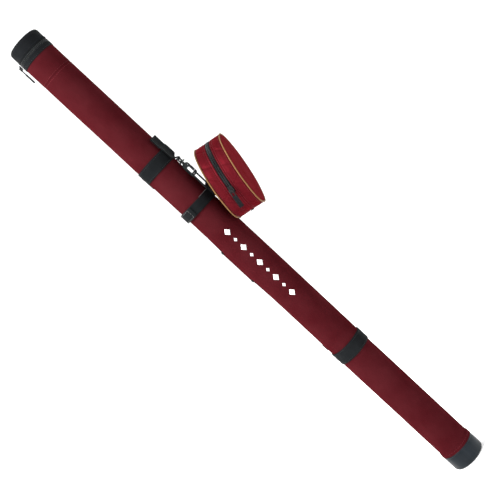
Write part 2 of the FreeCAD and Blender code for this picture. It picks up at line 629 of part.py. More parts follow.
def pouch_nodes():
    nodes = {}
    for side, is_back in (("back", True), ("front", False)):
        cloth, piping, pad, tape, teeth = pouch_half(is_back)
        nodes["pouch_" + side] = hung(cloth)
        nodes["pouch_" + side + "_piping"] = hung(piping)
        nodes["pouch_" + side + "_pad"] = hung(pad)
        nodes["pouch_zip_" + side + "_tape"] = hung(tape)
        nodes["pouch_zip_" + side + "_teeth"] = hung(teeth)
    panel = ring_arc(pouch_inner_r, POUCH_RADIUS, POUCH_HALF_DEPTH, pouch_depth - POUCH_HALF_DEPTH,
                     POUCH_HINGE_ANGLE - POUCH_HINGE_HALF_ARC, 2 * POUCH_HINGE_HALF_ARC)
    nodes["pouch_hinge_panel"] = hung(panel)
    nodes["belt_loop"] = make_belt_loop()
    slider, link, grip = slider_pieces(pouch_teeth_r, pouch_zip_u, POUCH_PULL_GRIP_LENGTH, 90)
    nodes["pouch_zip_slider"] = hung(turned(slider, POUCH_SLIDER_ANGLE))
    nodes["pouch_pull_link"] = hung(turned(link, POUCH_SLIDER_ANGLE))
    nodes["pouch_pull_grip"] = hung(turned(grip, POUCH_SLIDER_ANGLE))
    return nodes


# ---- write every node ----
os.makedirs("parts", exist_ok=True)
all_nodes = {}
for group in (tube_nodes, mouth_nodes, lid_nodes, lid_slider_nodes, handle_nodes, chain_nodes,
              strap_nodes, pouch_nodes):
    all_nodes.update(group())
for node_name, node_shape in all_nodes.items():
    node_shape.exportStep("parts/" + node_name + ".step")
print(len(all_nodes), "nodes written")
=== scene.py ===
import json
import math

import bmesh
import bpy
import numpy as np
from mathutils import Matrix, Vector


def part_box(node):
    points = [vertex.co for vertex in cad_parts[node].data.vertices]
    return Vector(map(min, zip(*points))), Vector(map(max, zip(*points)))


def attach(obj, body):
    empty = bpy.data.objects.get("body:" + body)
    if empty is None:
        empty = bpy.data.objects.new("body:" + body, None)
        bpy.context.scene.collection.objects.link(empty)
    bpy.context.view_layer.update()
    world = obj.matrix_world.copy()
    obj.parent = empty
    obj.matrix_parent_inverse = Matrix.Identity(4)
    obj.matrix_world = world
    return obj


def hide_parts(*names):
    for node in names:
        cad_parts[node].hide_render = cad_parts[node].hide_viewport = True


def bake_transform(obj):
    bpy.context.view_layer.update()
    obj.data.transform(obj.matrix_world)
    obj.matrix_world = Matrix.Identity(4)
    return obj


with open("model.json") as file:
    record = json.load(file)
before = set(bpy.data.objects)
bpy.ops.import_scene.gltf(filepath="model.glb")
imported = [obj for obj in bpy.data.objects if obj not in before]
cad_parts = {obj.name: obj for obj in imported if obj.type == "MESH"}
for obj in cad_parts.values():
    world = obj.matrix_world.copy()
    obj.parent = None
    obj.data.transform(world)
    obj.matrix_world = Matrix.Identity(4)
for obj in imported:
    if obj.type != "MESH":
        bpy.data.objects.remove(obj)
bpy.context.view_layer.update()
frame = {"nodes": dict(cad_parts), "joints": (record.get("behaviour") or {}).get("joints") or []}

# Lengths are metres, and MM turns millimetres into metres.
MM = 0.001
TAU = 2 * math.pi


# ---------------------------------------------------------------- measures taken from the frame
def low_high(node):
    low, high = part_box(node)
    return low.z, high.z


def outer_radius(node):
    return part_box(node)[1].x


def joint(name):
    return next(j for j in frame["joints"] if j["name"] == name)


def azimuth_of(point):
    return math.atan2(point[1], point[0])


case_top = low_high("lid_cover")[1]
cover_r = outer_radius("tube_cover")
tube_r = outer_radius("inner_tube")
cover_low, seam_z = low_high("tube_cover")
collar_top = low_high("cover_collar")[1]
zip_z = joint("lid_hinge")["pos_m"][2]
lid_hinge_azimuth = azimuth_of(joint("lid_hinge")["pos_m"])
LID_HINGE_HALF_ARC = math.radians(38)
handle_axis = Vector(joint("handle_swing")["pos_m"])
handle_azimuth = azimuth_of(handle_axis)
handle_ring_r = handle_axis.xy.length
chain_axis = Vector(joint("hook_swivel")["pos_m"])
chain_azimuth = azimuth_of(chain_axis)
chain_r = chain_axis.xy.length
pouch_azimuth = azimuth_of(joint("pouch_tilt")["pos_m"])
strap_low, strap_high = low_high("pouch_strap")

# The drum frame of the round pouch: Z out of the pouch, X towards its cloth hinge.
drum_centre = Vector(joint("pouch_zip")["pos_m"])
drum_out = -Vector(joint("pouch_zip")["axis"])
to_hinge = Vector(joint("pouch_lid")["pos_m"]) - drum_centre
drum_side = (to_hinge - drum_out * to_hinge.dot(drum_out)).normalized()
drum_up = drum_out.cross(drum_side)
DRUM = Matrix((drum_side, drum_up, drum_out)).transposed().to_4x4()
DRUM.translation = drum_centre
POUCH_HINGE_HALF_ARC = math.radians(35)
POUCH_RADIUS = 55.5 * MM
POUCH_DEPTH = 42.6 * MM
POUCH_ZIP_WIDTH = 7 * MM
PIPING_SHOWN = 0.9 * MM
PIPING_INSET = 1.0 * MM
POUCH_CLOTH = 2 * MM


# ---------------------------------------------------------------- mesh helpers
def face_outward(mesh):
    """Turns every closed shell's faces outward, whichever way its profile was listed."""
    shape = bmesh.new()
    shape.from_mesh(mesh)
    bmesh.ops.recalc_face_normals(shape, faces=shape.faces)
    shape.to_mesh(mesh)
    shape.free()


def new_piece(name, verts, faces, uvs, material, smooth=True):
    mesh = bpy.data.meshes.new(name)
    mesh.from_pydata([tuple(v) for v in verts], [], faces)
    if uvs is not None:
        layer = mesh.uv_layers.new(name="cloth")
        layer.data.foreach_set("uv", np.asarray(uvs, np.float32).ravel())
    mesh.polygons.foreach_set("use_smooth", [smooth] * len(mesh.polygons))
    mesh.materials.append(material)
    mesh.update()
    mesh.validate()
    face_outward(mesh)
    piece = bpy.data.objects.new(name, mesh)
    bpy.context.scene.collection.objects.link(piece)
    return piece


def placed(points, matrix):
    flat = np.asarray(points, float).reshape(-1, 3)
    if matrix is None:
        return flat
    m = np.array(matrix)
    return flat @ m[:3, :3].T + m[:3, 3]


def grid(name, points, uv, material, wrap_rows=False, wrap_columns=False, cap_columns=False, matrix=None):
    """Quads through points[row][column]; uv has one more row or column where the sheet wraps."""
    rows, columns = points.shape[:2]
    faces, corners = [], []
    for i in range(rows if wrap_rows else rows - 1):
        for j in range(columns if wrap_columns else columns - 1):
            i2, j2 = (i + 1) % rows, (j + 1) % columns
            faces.append((i * columns + j, i * columns + j2, i2 * columns + j2, i2 * columns + j))
            corners += [uv[i, j], uv[i, j + 1], uv[i + 1, j + 1], uv[i + 1, j]]
    if cap_columns:
        for j, order in ((0, range(rows)), (columns - 1, range(rows - 1, -1, -1))):
            faces.append(tuple(i * columns + j for i in order))
            corners += [uv[i, j] for i in order]
    return new_piece(name, placed(points, matrix), faces, corners, material)


def even(points, step):
    """A polyline with points added so that no run is longer than step."""
    out = []
    for a, b in zip(points[:-1], points[1:]):
        a, b = np.array(a, float), np.array(b, float)
        count = max(1, int(math.ceil(np.linalg.norm(b - a) / step)))
        out += [a + (b - a) * k / count for k in range(count)]
    out.append(np.array(points[-1], float))
    return np.array(out)


def directions(azimuth):
    """Unit vectors outward and sideways at an azimuth round the tube."""
    return (np.array([math.cos(azimuth), math.sin(azimuth), 0]),
            np.array([-math.sin(azimuth), math.cos(azimuth), 0]))


def around_axis(angles, radius, height):
    """Points at a radius and height round the Z axis, and the outward direction at each."""
    outward = np.stack([np.cos(angles), np.sin(angles), 0 * angles], axis=1)
    points = np.stack([radius * np.cos(angles), radius * np.sin(angles), height + 0 * angles], axis=1)
    return points, outward


def hill(offset, width):
    """1 where the offset is zero, fading smoothly to nothing over about two widths."""
    return np.exp(-(offset / width) ** 2)


def wrap_round(radius, height, reach, angles, side=1):
    """Route points round a bar at (radius, height), the other way round where side is -1."""
    return [(radius + reach * math.cos(a), height + side * reach * math.sin(a)) for a in angles]


def run_lengths(points):
    steps = np.linalg.norm(np.diff(points, axis=0), axis=1)
    return np.concatenate([[0], np.cumsum(steps)])


def revolve(name, profile, material, start=0.0, sweep=TAU, step=2 * MM, bend=None, matrix=None, closed=True):
    """A profile of (radius, height) points turned about Z; bend(angle, radius, height) moves it outward."""
    profile = np.array(profile, float)
    full = abs(sweep - TAU) < 1e-6
    count = max(12, int(math.ceil(sweep * profile[:, 0].max() / step)))
    angles = start + sweep * np.arange(count if full else count + 1) / count
    radius = profile[:, 0][:, None] + np.zeros(len(angles))[None, :]
    height = profile[:, 1][:, None] + np.zeros(len(angles))[None, :]
    turn = angles[None, :] + np.zeros(len(profile))[:, None]
    if bend is not None:
        radius = radius + bend(turn, radius, height)
    points = np.stack([radius * np.cos(turn), radius * np.sin(turn), height], axis=2)
    ring = np.vstack([profile, profile[:1]]) if closed else profile
    along = run_lengths(ring)
    around = (start + sweep * np.arange(count + 1) / count) * profile[:, 0].max()
    uv = np.stack(np.meshgrid(around, along), axis=2)
    return grid(name, points, uv, material, wrap_rows=closed, wrap_columns=full,
                cap_columns=closed and not full, matrix=matrix)


def ribbon_section(width, thickness, across_count=10):
    """The outline of a webbing strap, flat on both faces with rounded selvedges."""
    half, edge = width / 2, thickness / 2
    flat = np.linspace(-half + edge, half - edge, across_count)
    top = [(x, edge) for x in flat]
    right = [(half - edge + edge * math.sin(a), edge * math.cos(a)) for a in np.linspace(0, math.pi, 5)[1:-1]]
    bottom = [(x, -edge) for x in flat[::-1]]
    left = [(-half + edge - edge * math.sin(a), -edge * math.cos(a)) for a in np.linspace(0, math.pi,
                                                                                          5)[1:-1]]
    return np.array(top + right + bottom + left)


def ribbon(name, centre, across, normal, width, thickness, material, closed=False):
    """A strap swept along centre points, with a unit across and normal vector at each of them."""
    section = ribbon_section(width, thickness)
    points = (centre[None, :, :] + section[:, 0][:, None, None] * across[None, :, :]
              + section[:, 1][:, None, None] * normal[None, :, :])
    loop = np.vstack([centre, centre[:1]]) if closed else centre
    along = run_lengths(loop)
    around = run_lengths(np.vstack([section, section[:1]]))
    uv = np.stack(np.meshgrid(along, around), axis=2)
    return grid(name, points, uv, material, wrap_rows=True, wrap_columns=closed, cap_columns=not closed)


def rounded_route(points, radius, step):
    """A flat route of (r, z) points with each inner corner turned into an arc."""
    points = [np.array(p, float) for p in points]
    out = [points[0]]
    for before, corner, after in zip(points[:-2], points[1:-1], points[2:]):
        a, b = before - corner, after - corner
        la, lb = np.linalg.norm(a), np.linalg.norm(b)
        a, b = a / la, b / lb
        half = math.acos(max(-1.0, min(1.0, float(a @ b)))) / 2
        reach = min(radius / math.tan(half), 0.49 * la, 0.49 * lb)
        for t in np.linspace(0, 1, 9):
            p, q = corner + a * reach, corner + b * reach
            out.append((1 - t) ** 2 * p + 2 * t * (1 - t) * corner + t ** 2 * q)
    out.append(points[-1])
    return even(out, step)


def side_frames(route, azimuth, shift=0.0):
    """Centre, across and normal vectors for a strap whose route lies in the upright plane at azimuth."""
    radial, across = directions(azimuth)
    up = np.array([0, 0, 1.0])
    centre = route[:, :1] * radial + route[:, 1:] * up + shift * across
    flow = np.gradient(route, axis=0)
    flow /= np.linalg.norm(flow, axis=1)[:, None]
    normal = flow[:, 1:] * radial - flow[:, :1] * up
    return centre, np.repeat(across[None, :], len(route), 0), normal


def swept_strap(name, route, corner, step, azimuth, width, thickness, shift=0.0):
    """A webbing strap along a flat route of (radius, height) points at an azimuth."""
    centre, across, normal = side_frames(rounded_route(route, corner, step), azimuth, shift)
    return ribbon(name, centre, across, normal, width, thickness, webbing)


CAPSULE_RINGS = ((-1.0, 0.25), (-0.72, 0.8), (0.0, 1.0), (0.72, 0.8), (1.0, 0.25))
CAPSULE_SIDES = 6


def beads(name, centres, along, normals, length, radius, material, dip=0.6):
    """Many small rounded bars in one mesh: stitches, coil turns, and pale strands that paint a highlight
    along the strap's edge.
    """
    verts, faces = [], []
    across = np.cross(normals, along)
    for c, t, n, s in zip(centres, along, normals, across):
        base = len(verts)
        for place, share in CAPSULE_RINGS:
            mid = c + t * place * length / 2 - n * dip * radius * place ** 2
            for k in range(CAPSULE_SIDES):
                a = TAU * k / CAPSULE_SIDES
                verts.append(mid + radius * share * (s * math.cos(a) + n * math.sin(a)))
        for i in range(len(CAPSULE_RINGS) - 1):
            for k in range(CAPSULE_SIDES):
                k2 = (k + 1) % CAPSULE_SIDES
                row, above = base + i * CAPSULE_SIDES, base + (i + 1) * CAPSULE_SIDES
                faces.append((row + k, row + k2, above + k2, above + k))
        faces.append(tuple(base + k for k in range(CAPSULE_SIDES - 1, -1, -1)))
        top = base + (len(CAPSULE_RINGS) - 1) * CAPSULE_SIDES
        faces.append(tuple(top + k for k in range(CAPSULE_SIDES)))
    return new_piece(name, verts, faces, None, material)


def spaced(points, normals, pitch):
    """Positions, directions and normals every pitch along a polyline."""
    along = run_lengths(points)
    count = max(2, int(along[-1] / pitch))
    marks = (np.arange(count) + 0.5) * along[-1] / count
    centre = np.stack([np.interp(marks, along, points[:, k]) for k in range(3)], axis=1)
    ahead = np.stack([np.interp(marks + pitch * 0.2, along, points[:, k]) for k in range(3)], axis=1)
    behind = np.stack([np.interp(marks - pitch * 0.2, along, points[:, k]) for k in range(3)], axis=1)
    flow = ahead - behind
    flow /= np.linalg.norm(flow, axis=1)[:, None]
    normal = np.stack([np.interp(marks, along, normals[:, k]) for k in range(3)], axis=1)
    normal -= flow * np.sum(normal * flow, axis=1)[:, None]
    normal /= np.linalg.norm(normal, axis=1)[:, None]
    return centre, flow, normal


STITCH_PITCH = 3.2 * MM
STITCH_LENGTH = 2.5 * MM
STITCH_RADIUS = 0.24 * MM


def stitch_line(name, points, normals, material, matrix=None):
    points, normals = np.asarray(points, float), np.asarray(normals, float)
    centre, flow, normal = spaced(points, normals, STITCH_PITCH)
    if matrix is not None:
        turn = np.array(matrix)[:3, :3]
        centre, flow, normal = placed(centre, matrix), flow @ turn.T, normal @ turn.T
    return beads(name, centre, flow, normal, STITCH_LENGTH, STITCH_RADIUS, material)


def circle_stitches(name, radius, height, material, start=0.0, sweep=TAU, matrix=None, bend=None):
    angles = start + sweep * np.linspace(0, 1, max(16, int(sweep * radius / MM)))
    reach = radius + (bend(angles, radius + 0 * angles, height + 0 * angles) if bend else 0 * angles)
    points, normals = around_axis(angles, reach, height)
    return stitch_line(name, points, normals, material, matrix)


def join_pieces(name, pieces):
    """One object out of several with the same material."""
    verts, faces, uvs, have_uv = [], [], [], all(p.data.uv_layers for p in pieces)
    for piece in pieces:
        base = len(verts)
        verts += [tuple(v.co) for v in piece.data.vertices]
        faces += [tuple(base + i for i in poly.vertices) for poly in piece.data.polygons]
        if have_uv:
            uvs += [tuple(d.uv) for d in piece.data.uv_layers[0].data]
    material = pieces[0].data.materials[0]
    for piece in pieces:
        bpy.data.objects.remove(piece)
    return new_piece(name, verts, faces, uvs if have_uv else None, material)


def add(piece, body, slot, *nodes):
    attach(piece, body)
    if nodes:
        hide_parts(*nodes)
    return piece


def add_across(piece, node):
    """Fabric that stands for a node and lies between two bodies: hides the node and bakes the piece's
    placement into its mesh.
    """
    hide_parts(node)
    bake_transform(piece)


# ---------------------------------------------------------------- materials
class Shader:
    """A Principled material whose colour, roughness and bump come from node patterns."""

    def __init__(self, name):
        self.material = bpy.data.materials.new(name)
        self.material.use_nodes = True
        self.tree = self.material.node_tree
        self.main = self.tree.nodes["Principled BSDF"]

    def node(self, kind, **settings):
        made = self.tree.nodes.new(kind)
        for key, value in settings.items():
            setattr(made, key, value)
        return made

    def link(self, source, target):
        self.tree.links.new(source, target)

    def feed(self, socket, value):
        """Sets a socket to a number or colour, or links another node's output to it."""
        if isinstance(value, tuple):
            socket.default_value = (*value, 1)
        elif isinstance(value, (int, float)):
            socket.default_value = value
        else:
            self.link(value, socket)

    def math(self, operation, *values):
        made = self.node("ShaderNodeMath", operation=operation)
        for socket, value in zip(made.inputs, values):
            self.feed(socket, value)
        return made.outputs[0]

    def noise(self, scale, detail=3.0, stretch=None):
        coords = self.node("ShaderNodeTexCoord")
        made = self.node("ShaderNodeTexNoise")
        made.inputs["Scale"].default_value = scale
        made.inputs["Detail"].default_value = detail
        if stretch is None:
            self.link(coords.outputs["Object"], made.inputs["Vector"])
        else:
            mapping = self.node("ShaderNodeMapping")
            mapping.inputs["Scale"].default_value = stretch
            self.link(coords.outputs["Object"], mapping.inputs["Vector"])
            self.link(mapping.outputs["Vector"], made.inputs["Vector"])
        return made.outputs["Fac"]

    def weave(self, pitch_u, pitch_v):
        """Height of a plain weave, from 0 between threads to 1 on their crowns."""
        uv = self.node("ShaderNodeUVMap", uv_map="cloth")
        split = self.node("ShaderNodeSeparateXYZ")
        self.link(uv.outputs["UV"], split.inputs[0])
        u = self.math("DIVIDE", split.outputs[0], pitch_u)
        v = self.math("DIVIDE", split.outputs[1], pitch_v)
        crown_u = self.math("ABSOLUTE", self.math("SINE", self.math("MULTIPLY", u, math.pi)))
        crown_v = self.math("ABSOLUTE", self.math("SINE", self.math("MULTIPLY", v, math.pi)))
        cell = self.math("ADD", self.math("FLOOR", u), self.math("FLOOR", v))
        over = self.math("FLOORED_MODULO", cell, 2.0)
        soft_u = self.math("MULTIPLY_ADD", crown_u, 0.4, 0.6)
        soft_v = self.math("MULTIPLY_ADD", crown_v, 0.4, 0.6)
        warp = self.math("MULTIPLY", self.math("POWER", crown_u, 0.6), soft_v)
        weft = self.math("MULTIPLY", self.math("POWER", crown_v, 0.6), soft_u)
        pick = self.node("ShaderNodeMix", data_type="FLOAT")
        self.link(over, pick.inputs[0])
        self.link(warp, pick.inputs[2])
        self.link(weft, pick.inputs[3])
        return pick.outputs[0]

    def blend_colours(self, factor, first, second):
        mix = self.node("ShaderNodeMix", data_type="RGBA")
        for socket, value in ((0, factor), (6, first), (7, second)):
            self.feed(mix.inputs[socket], value)
        return mix.outputs[2]

    def contrast(self, factor, low, high):
        ramp = self.node("ShaderNodeMapRange")
        ramp.inputs["From Min"].default_value = low
        ramp.inputs["From Max"].default_value = high
        self.link(factor, ramp.inputs["Value"])
        return ramp.outputs["Result"]

    def bump(self, height, distance, strength=1.0, below=None):
        made = self.node("ShaderNodeBump")
        made.inputs["Distance"].default_value = distance
        made.inputs["Strength"].default_value = strength
        self.link(height, made.inputs["Height"])
        if below is not None:
            self.link(below, made.inputs["Normal"])
        return made.outputs["Normal"]

    def finish(self, colour, roughness, normal, **constants):
        self.link(colour, self.main.inputs["Base Color"])
        self.feed(self.main.inputs["Roughness"], roughness)
        self.link(normal, self.main.inputs["Normal"])
        for key, value in constants.items():
            self.main.inputs[key.replace("_", " ")].default_value = value
        return self.material


def cloth_material(name, light, dark, pitch=(0.8 * MM, 0.8 * MM), depth=0.16 * MM, roughness=(0.6, 0.85),
                   sheen=0.25, sheen_tint=(1, 1, 1), specular=0.35, worn=0.25,
                   rumple=(160, 0.25 * MM), shine=0.0):
    """Woven cloth: thread crowns lighter than the gaps, slubs in the yarn, faint rubbed patches."""
    s = Shader(name)
    threads = s.weave(*pitch)
    patches = s.contrast(s.noise(28, 5), 0.35, 0.7)
    yarn = s.contrast(s.noise(900, 2), 0.3, 0.75)
    tone = s.blend_colours(s.math("MULTIPLY_ADD", threads, 0.75, 0.12), dark, light)
    faded = tuple(min(1, c * 1.5 + 0.01) for c in light)
    rubbed = s.blend_colours(s.math("MULTIPLY", patches, worn), tone, faded)
    slubbed = s.blend_colours(s.math("MULTIPLY", yarn, 0.22), rubbed, dark)
    rough = s.math("MULTIPLY_ADD", patches, roughness[0] - roughness[1], roughness[1])
    rumple_scale, rumple_depth = rumple
    coarse = s.bump(s.noise(rumple_scale, 4), rumple_depth, 0.35)
    normal = s.bump(threads, depth, 0.9, coarse)
    return s.finish(slubbed, rough, normal, Sheen_Weight=sheen, Sheen_Roughness=0.45,
                    Sheen_Tint=(*sheen_tint, 1), Specular_IOR_Level=specular, Metallic=shine,
                    Specular_Tint=(*sheen_tint, 1))


def moulded_material(name, light, dark, roughness=(0.35, 0.5), grain=2500, depth=0.04 * MM, metallic=0.0,
                     specular=0.5, coat=0.0):
    """Moulded or coated surface: fine grain, faint blotches and scuffs in the gloss."""
    s = Shader(name)
    blotch = s.contrast(s.noise(45, 4), 0.35, 0.7)
    scuff = s.contrast(s.noise(120, 6, (1, 1, 0.15)), 0.55, 0.8)
    colour = s.blend_colours(blotch, dark, light)
    scratched = tuple(min(1, c * 2 + 0.02) for c in light)
    colour = s.blend_colours(s.math("MULTIPLY", scuff, 0.25), colour, scratched)
    rough = s.math("MULTIPLY_ADD", scuff, roughness[1] - roughness[0], roughness[0])
    normal = s.bump(s.noise(grain, 2), depth, 0.5)
    return s.finish(colour, rough, normal, Metallic=metallic, Specular_IOR_Level=specular, Coat_Weight=coat)


BURGUNDY = (0.058, 0.0062, 0.0088)
BURGUNDY_DARK = (0.021, 0.0024, 0.0034)
burgundy = cloth_material("burgundy_cloth", BURGUNDY, BURGUNDY_DARK, pitch=(0.9 * MM, 0.9 * MM), sheen=0.10,
                          sheen_tint=(0.5, 0.03, 0.05), specular=0.0)
satin = cloth_material("pouch_satin", (0.112, 0.0080, 0.0125), (0.038, 0.0026, 0.0044),
                       pitch=(0.5 * MM, 0.5 * MM), depth=0.05 * MM, roughness=(0.36, 0.48), sheen=0.10,
                       sheen_tint=(0.6, 0.06, 0.08),
                       specular=0.0, worn=0.08, rumple=(46, 1.6 * MM), shine=0.35)
gold = cloth_material("gold_piping", (0.23, 0.115, 0.042), (0.09, 0.042, 0.015), pitch=(0.7 * MM, 0.9 * MM),
                      depth=0.08 * MM, roughness=(0.5, 0.65), sheen=0.02, specular=0.1, worn=0.15)
webbing = cloth_material("webbing", (0.0062, 0.0074, 0.0084), (0.0012, 0.0016, 0.002),
                         pitch=(1.9 * MM, 1.1 * MM), depth=0.22 * MM, roughness=(0.6, 0.85), sheen=0.01,
                         specular=0.05)
black_cloth = cloth_material("black_cloth", (0.0055, 0.0065, 0.0078), (0.0012, 0.0014, 0.0018),
                             pitch=(0.8 * MM, 0.8 * MM), depth=0.16 * MM, roughness=(0.6, 0.8), sheen=0.01,
                             specular=0.05)
zip_tape = cloth_material("zip_tape", (0.0070, 0.0080, 0.0085), (0.002, 0.0024, 0.0026),
                          pitch=(0.6 * MM, 1.2 * MM), depth=0.1 * MM, roughness=(0.6, 0.75), sheen=0.01,
                          specular=0.06)
lining_cloth = cloth_material("lining_cloth", (0.028, 0.030, 0.032), (0.010, 0.011, 0.012),
                              pitch=(0.4 * MM, 0.4 * MM), depth=0.06 * MM, roughness=(0.4, 0.55), sheen=0.04)
base_plastic = moulded_material("base_plastic", (0.0065, 0.0100, 0.0140), (0.0042, 0.0065, 0.0092),
                                (0.38, 0.52),
                                specular=0.14)
tube_plastic = moulded_material("tube_plastic", (0.55, 0.55, 0.53), (0.42, 0.42, 0.4), (0.35, 0.5))
coil_plastic = moulded_material("zip_coil", (0.014, 0.016, 0.017), (0.007, 0.008, 0.009), (0.3, 0.45),
                                depth=0.01 * MM, specular=0.2)
black_metal = moulded_material("black_metal", (0.010, 0.011, 0.012), (0.004, 0.005, 0.005), (0.28, 0.45),
                               grain=1800, depth=0.02 * MM, specular=0.2)
bright_metal = moulded_material("bright_metal", (0.55, 0.56, 0.58), (0.35, 0.36, 0.38), (0.18, 0.35),
                                grain=1800, depth=0.01 * MM, metallic=1.0)
pull_rubber = moulded_material("pull_rubber", (0.007, 0.008, 0.009), (0.004, 0.004, 0.005), (0.6, 0.75),
                               specular=0.08)
foam = moulded_material("foam", (0.035, 0.036, 0.037), (0.014, 0.014, 0.015), (0.85, 0.95), grain=1400,
                        depth=0.3 * MM, specular=0.2)
felt = moulded_material("felt", (0.045, 0.046, 0.05), (0.018, 0.018, 0.02), (0.9, 0.98), grain=2200,
                        depth=0.35 * MM, specular=0.1)
black_thread = moulded_material("black_thread", (0.010, 0.011, 0.012), (0.004, 0.004, 0.005), (0.45, 0.6),
                                specular=0.2)
red_thread = moulded_material("red_thread", (0.115, 0.008, 0.0125), (0.065, 0.004, 0.007), (0.5, 0.65),
                              specular=0.15)
# Grey thread for the strap flap's stitches; the same pale grey also paints a highlight along the strap's
# upper edge.
grey_thread = moulded_material("grey_thread", (0.16, 0.15, 0.145), (0.08, 0.075, 0.072), (0.45, 0.6))
white_print = moulded_material("white_print", (0.86, 0.85, 0.84), (0.74, 0.73, 0.72), (0.4, 0.55), grain=900,
                               depth=0.05 * MM)


# ---------------------------------------------------------------- tube cover
def ripple(angle, height, scale):
    """A gentle fixed unevenness, about -1 to 1."""
    h = height / scale
    return (0.45 * np.sin(3 * angle + 0.9 * h) + 0.3 * np.sin(5 * angle - 1.7 * h + 1.3)
            + 0.25 * np.sin(2 * angle + 2.6 * h + 4.0) + 0.2 * np.sin(9 * angle + 0.6 * h + 2.0))


bands = {name: low_high(name) for name in ("upper_band", "lower_band")}
PUCKER_DEPTH = 0.22 * MM
PUCKER_REACH = 6 * MM
BACK_SEAM_AZIMUTH = math.radians(68)


def cover_bend(angle, radius, height):
    outer = radius > (tube_r + cover_r) / 2
    out = 0.16 * MM * ripple(angle, height, 0.045)
    for low, high in bands.values():
        for edge in (low, high):
            near = hill(height - edge, PUCKER_REACH)
            out = out - PUCKER_DEPTH * near * (0.6 + 0.4 * np.sin(26 * angle + 900 * height))
    out = out - 0.25 * MM * hill(height - seam_z, 3 * MM) * (0.7 + 0.3 * np.sin(44 * angle))
    across = np.angle(np.exp(1j * (angle - BACK_SEAM_AZIMUTH))) * cover_r
    out = out + 0.45 * MM * hill(across - 2.2 * MM, 2.0 * MM) - 0.35 * MM * hill(across, 0.7 * MM)
    return np.where(outer, out, 0)


def sleeve(name, low, high, step):
    inner = tube_r + 0.05 * MM
    edge = 0.35 * MM
    outer = even([(cover_r - edge, low), (cover_r, low + edge), (cover_r, high - edge),
                  (cover_r - edge, high)],
                 step)
    profile = np.vstack([outer, [(inner, high), (inner, low)]])
    return revolve(name, profile, burgundy, step=1.6 * MM, bend=cover_bend)


def make_cover():
    add(sleeve("cover_sleeve", cover_low, seam_z, 3 * MM), "case", "burgundy_cloth", "tube_cover")
    add(sleeve("cover_top_panel", seam_z, collar_top, 1.2 * MM), "case", "burgundy_cloth", "cover_collar")
    lines = [circle_stitches("s", cover_r + 0.02 * MM, seam_z + offset, red_thread, bend=cover_bend)
             for offset in (-2.2 * MM, 2.2 * MM)]
    add(join_pieces("cover_seam_stitches", lines), "case", "burgundy_cloth")
    seam_line = []
    for side in (1.2 * MM, 4.4 * MM):
        turn = BACK_SEAM_AZIMUTH + side / cover_r
        z = np.linspace(cover_low + 10 * MM, seam_z - 3 * MM, 400)
        turns = np.full_like(z, turn)
        reach = cover_r + 0.08 * MM + cover_bend(turns, np.full_like(z, cover_r), z)
        seam_line.append(stitch_line("s", *around_axis(turns, reach, z), red_thread))
    add(join_pieces("back_seam_stitches", seam_line), "case", "burgundy_cloth")


def make_hem():
    low, high = low_high("cover_hem")
    outer = outer_radius("cover_hem")
    rim = 0.6 * MM
    middle = (low + high) / 2
    profile = [(cover_r + 0.02 * MM, low), (outer - rim, low), (outer - 0.15 * MM, low + 0.3 * MM),
               (outer, low + 1.1 * MM), (outer - 0.05 * MM, low + 2.4 * MM), (outer - 0.3 * MM, middle),
               (outer - 0.5 * MM, middle + 1.6 * MM), (outer - 0.8 * MM, high - 1.0 * MM),
               (cover_r + 0.15 * MM, high - 0.1 * MM), (cover_r + 0.02 * MM, high - 0.1 * MM)]
    profile = even(profile, 0.8 * MM)

    def hem_bend(angle, radius, height):
        return np.where(radius > cover_r + 0.3 * MM, 0.13 * MM * np.sin(31 * angle + 2 * np.sin(5 * angle)),
                        0)

    hem = revolve("cover_hem_fold", profile, burgundy, step=1.2 * MM, bend=hem_bend)
    add(hem, "case", "burgundy_cloth", "cover_hem")
    line = circle_stitches("hem_stitches", outer - 0.32 * MM, middle, red_thread)
    add(line, "case", "burgundy_cloth")


def make_base_cap():
    low, high = low_high("base_cap")
    bead_r = outer_radius("base_cap")
    wall_r = bead_r - 0.3 * MM
    corner = 4.5 * MM
    arc = [(wall_r - corner + corner * math.sin(a), low + corner - corner * math.cos(a))
           for a in np.linspace(0, math.pi / 2, 12)]
    wall = [(wall_r, low + 12 * MM), (wall_r, high - 2.2 * MM), (wall_r - 0.1 * MM, high - 2.0 * MM),
            (bead_r - 0.1 * MM, high - 1.7 * MM), (bead_r, high - 1.3 * MM), (bead_r, high - 0.5 * MM),
            (bead_r - 0.3 * MM, high - 0.05 * MM), (tube_r + 0.05 * MM, high - 0.05 * MM)]
    inside = [(tube_r + 0.05 * MM, low + 3 * MM), (0.2 * MM, low + 3 * MM)]
    under = [(0.2 * MM, low + 0.35 * MM), (9 * MM, low + 0.35 * MM), (9.4 * MM, low), (15 * MM, low),
             (15.3 * MM, low + 0.3 * MM), (16.3 * MM, low + 0.3 * MM), (16.6 * MM, low)]
    cap = revolve("base_cap_moulding", under + arc + wall + inside, base_plastic, step=1.5 * MM)
    add(cap, "case", "base_plastic", "base_cap")


# ---------------------------------------------------------------- webbing bands
WEBBING_THICKNESS = 1.3 * MM
WEBBING_HALF = WEBBING_THICKNESS / 2
SEWN_THICKNESS = 1.2 * MM          # webbing of the sewn tabs and loops
SOFT_GAP = 0.3 * MM                # webbing to the wire that turns in it
SMALL_GAP = 0.2 * MM
EYE_WIRE = 1.1 * MM
LINK_WIRE = 1.2 * MM
STITCH_PROUD = 0.05 * MM


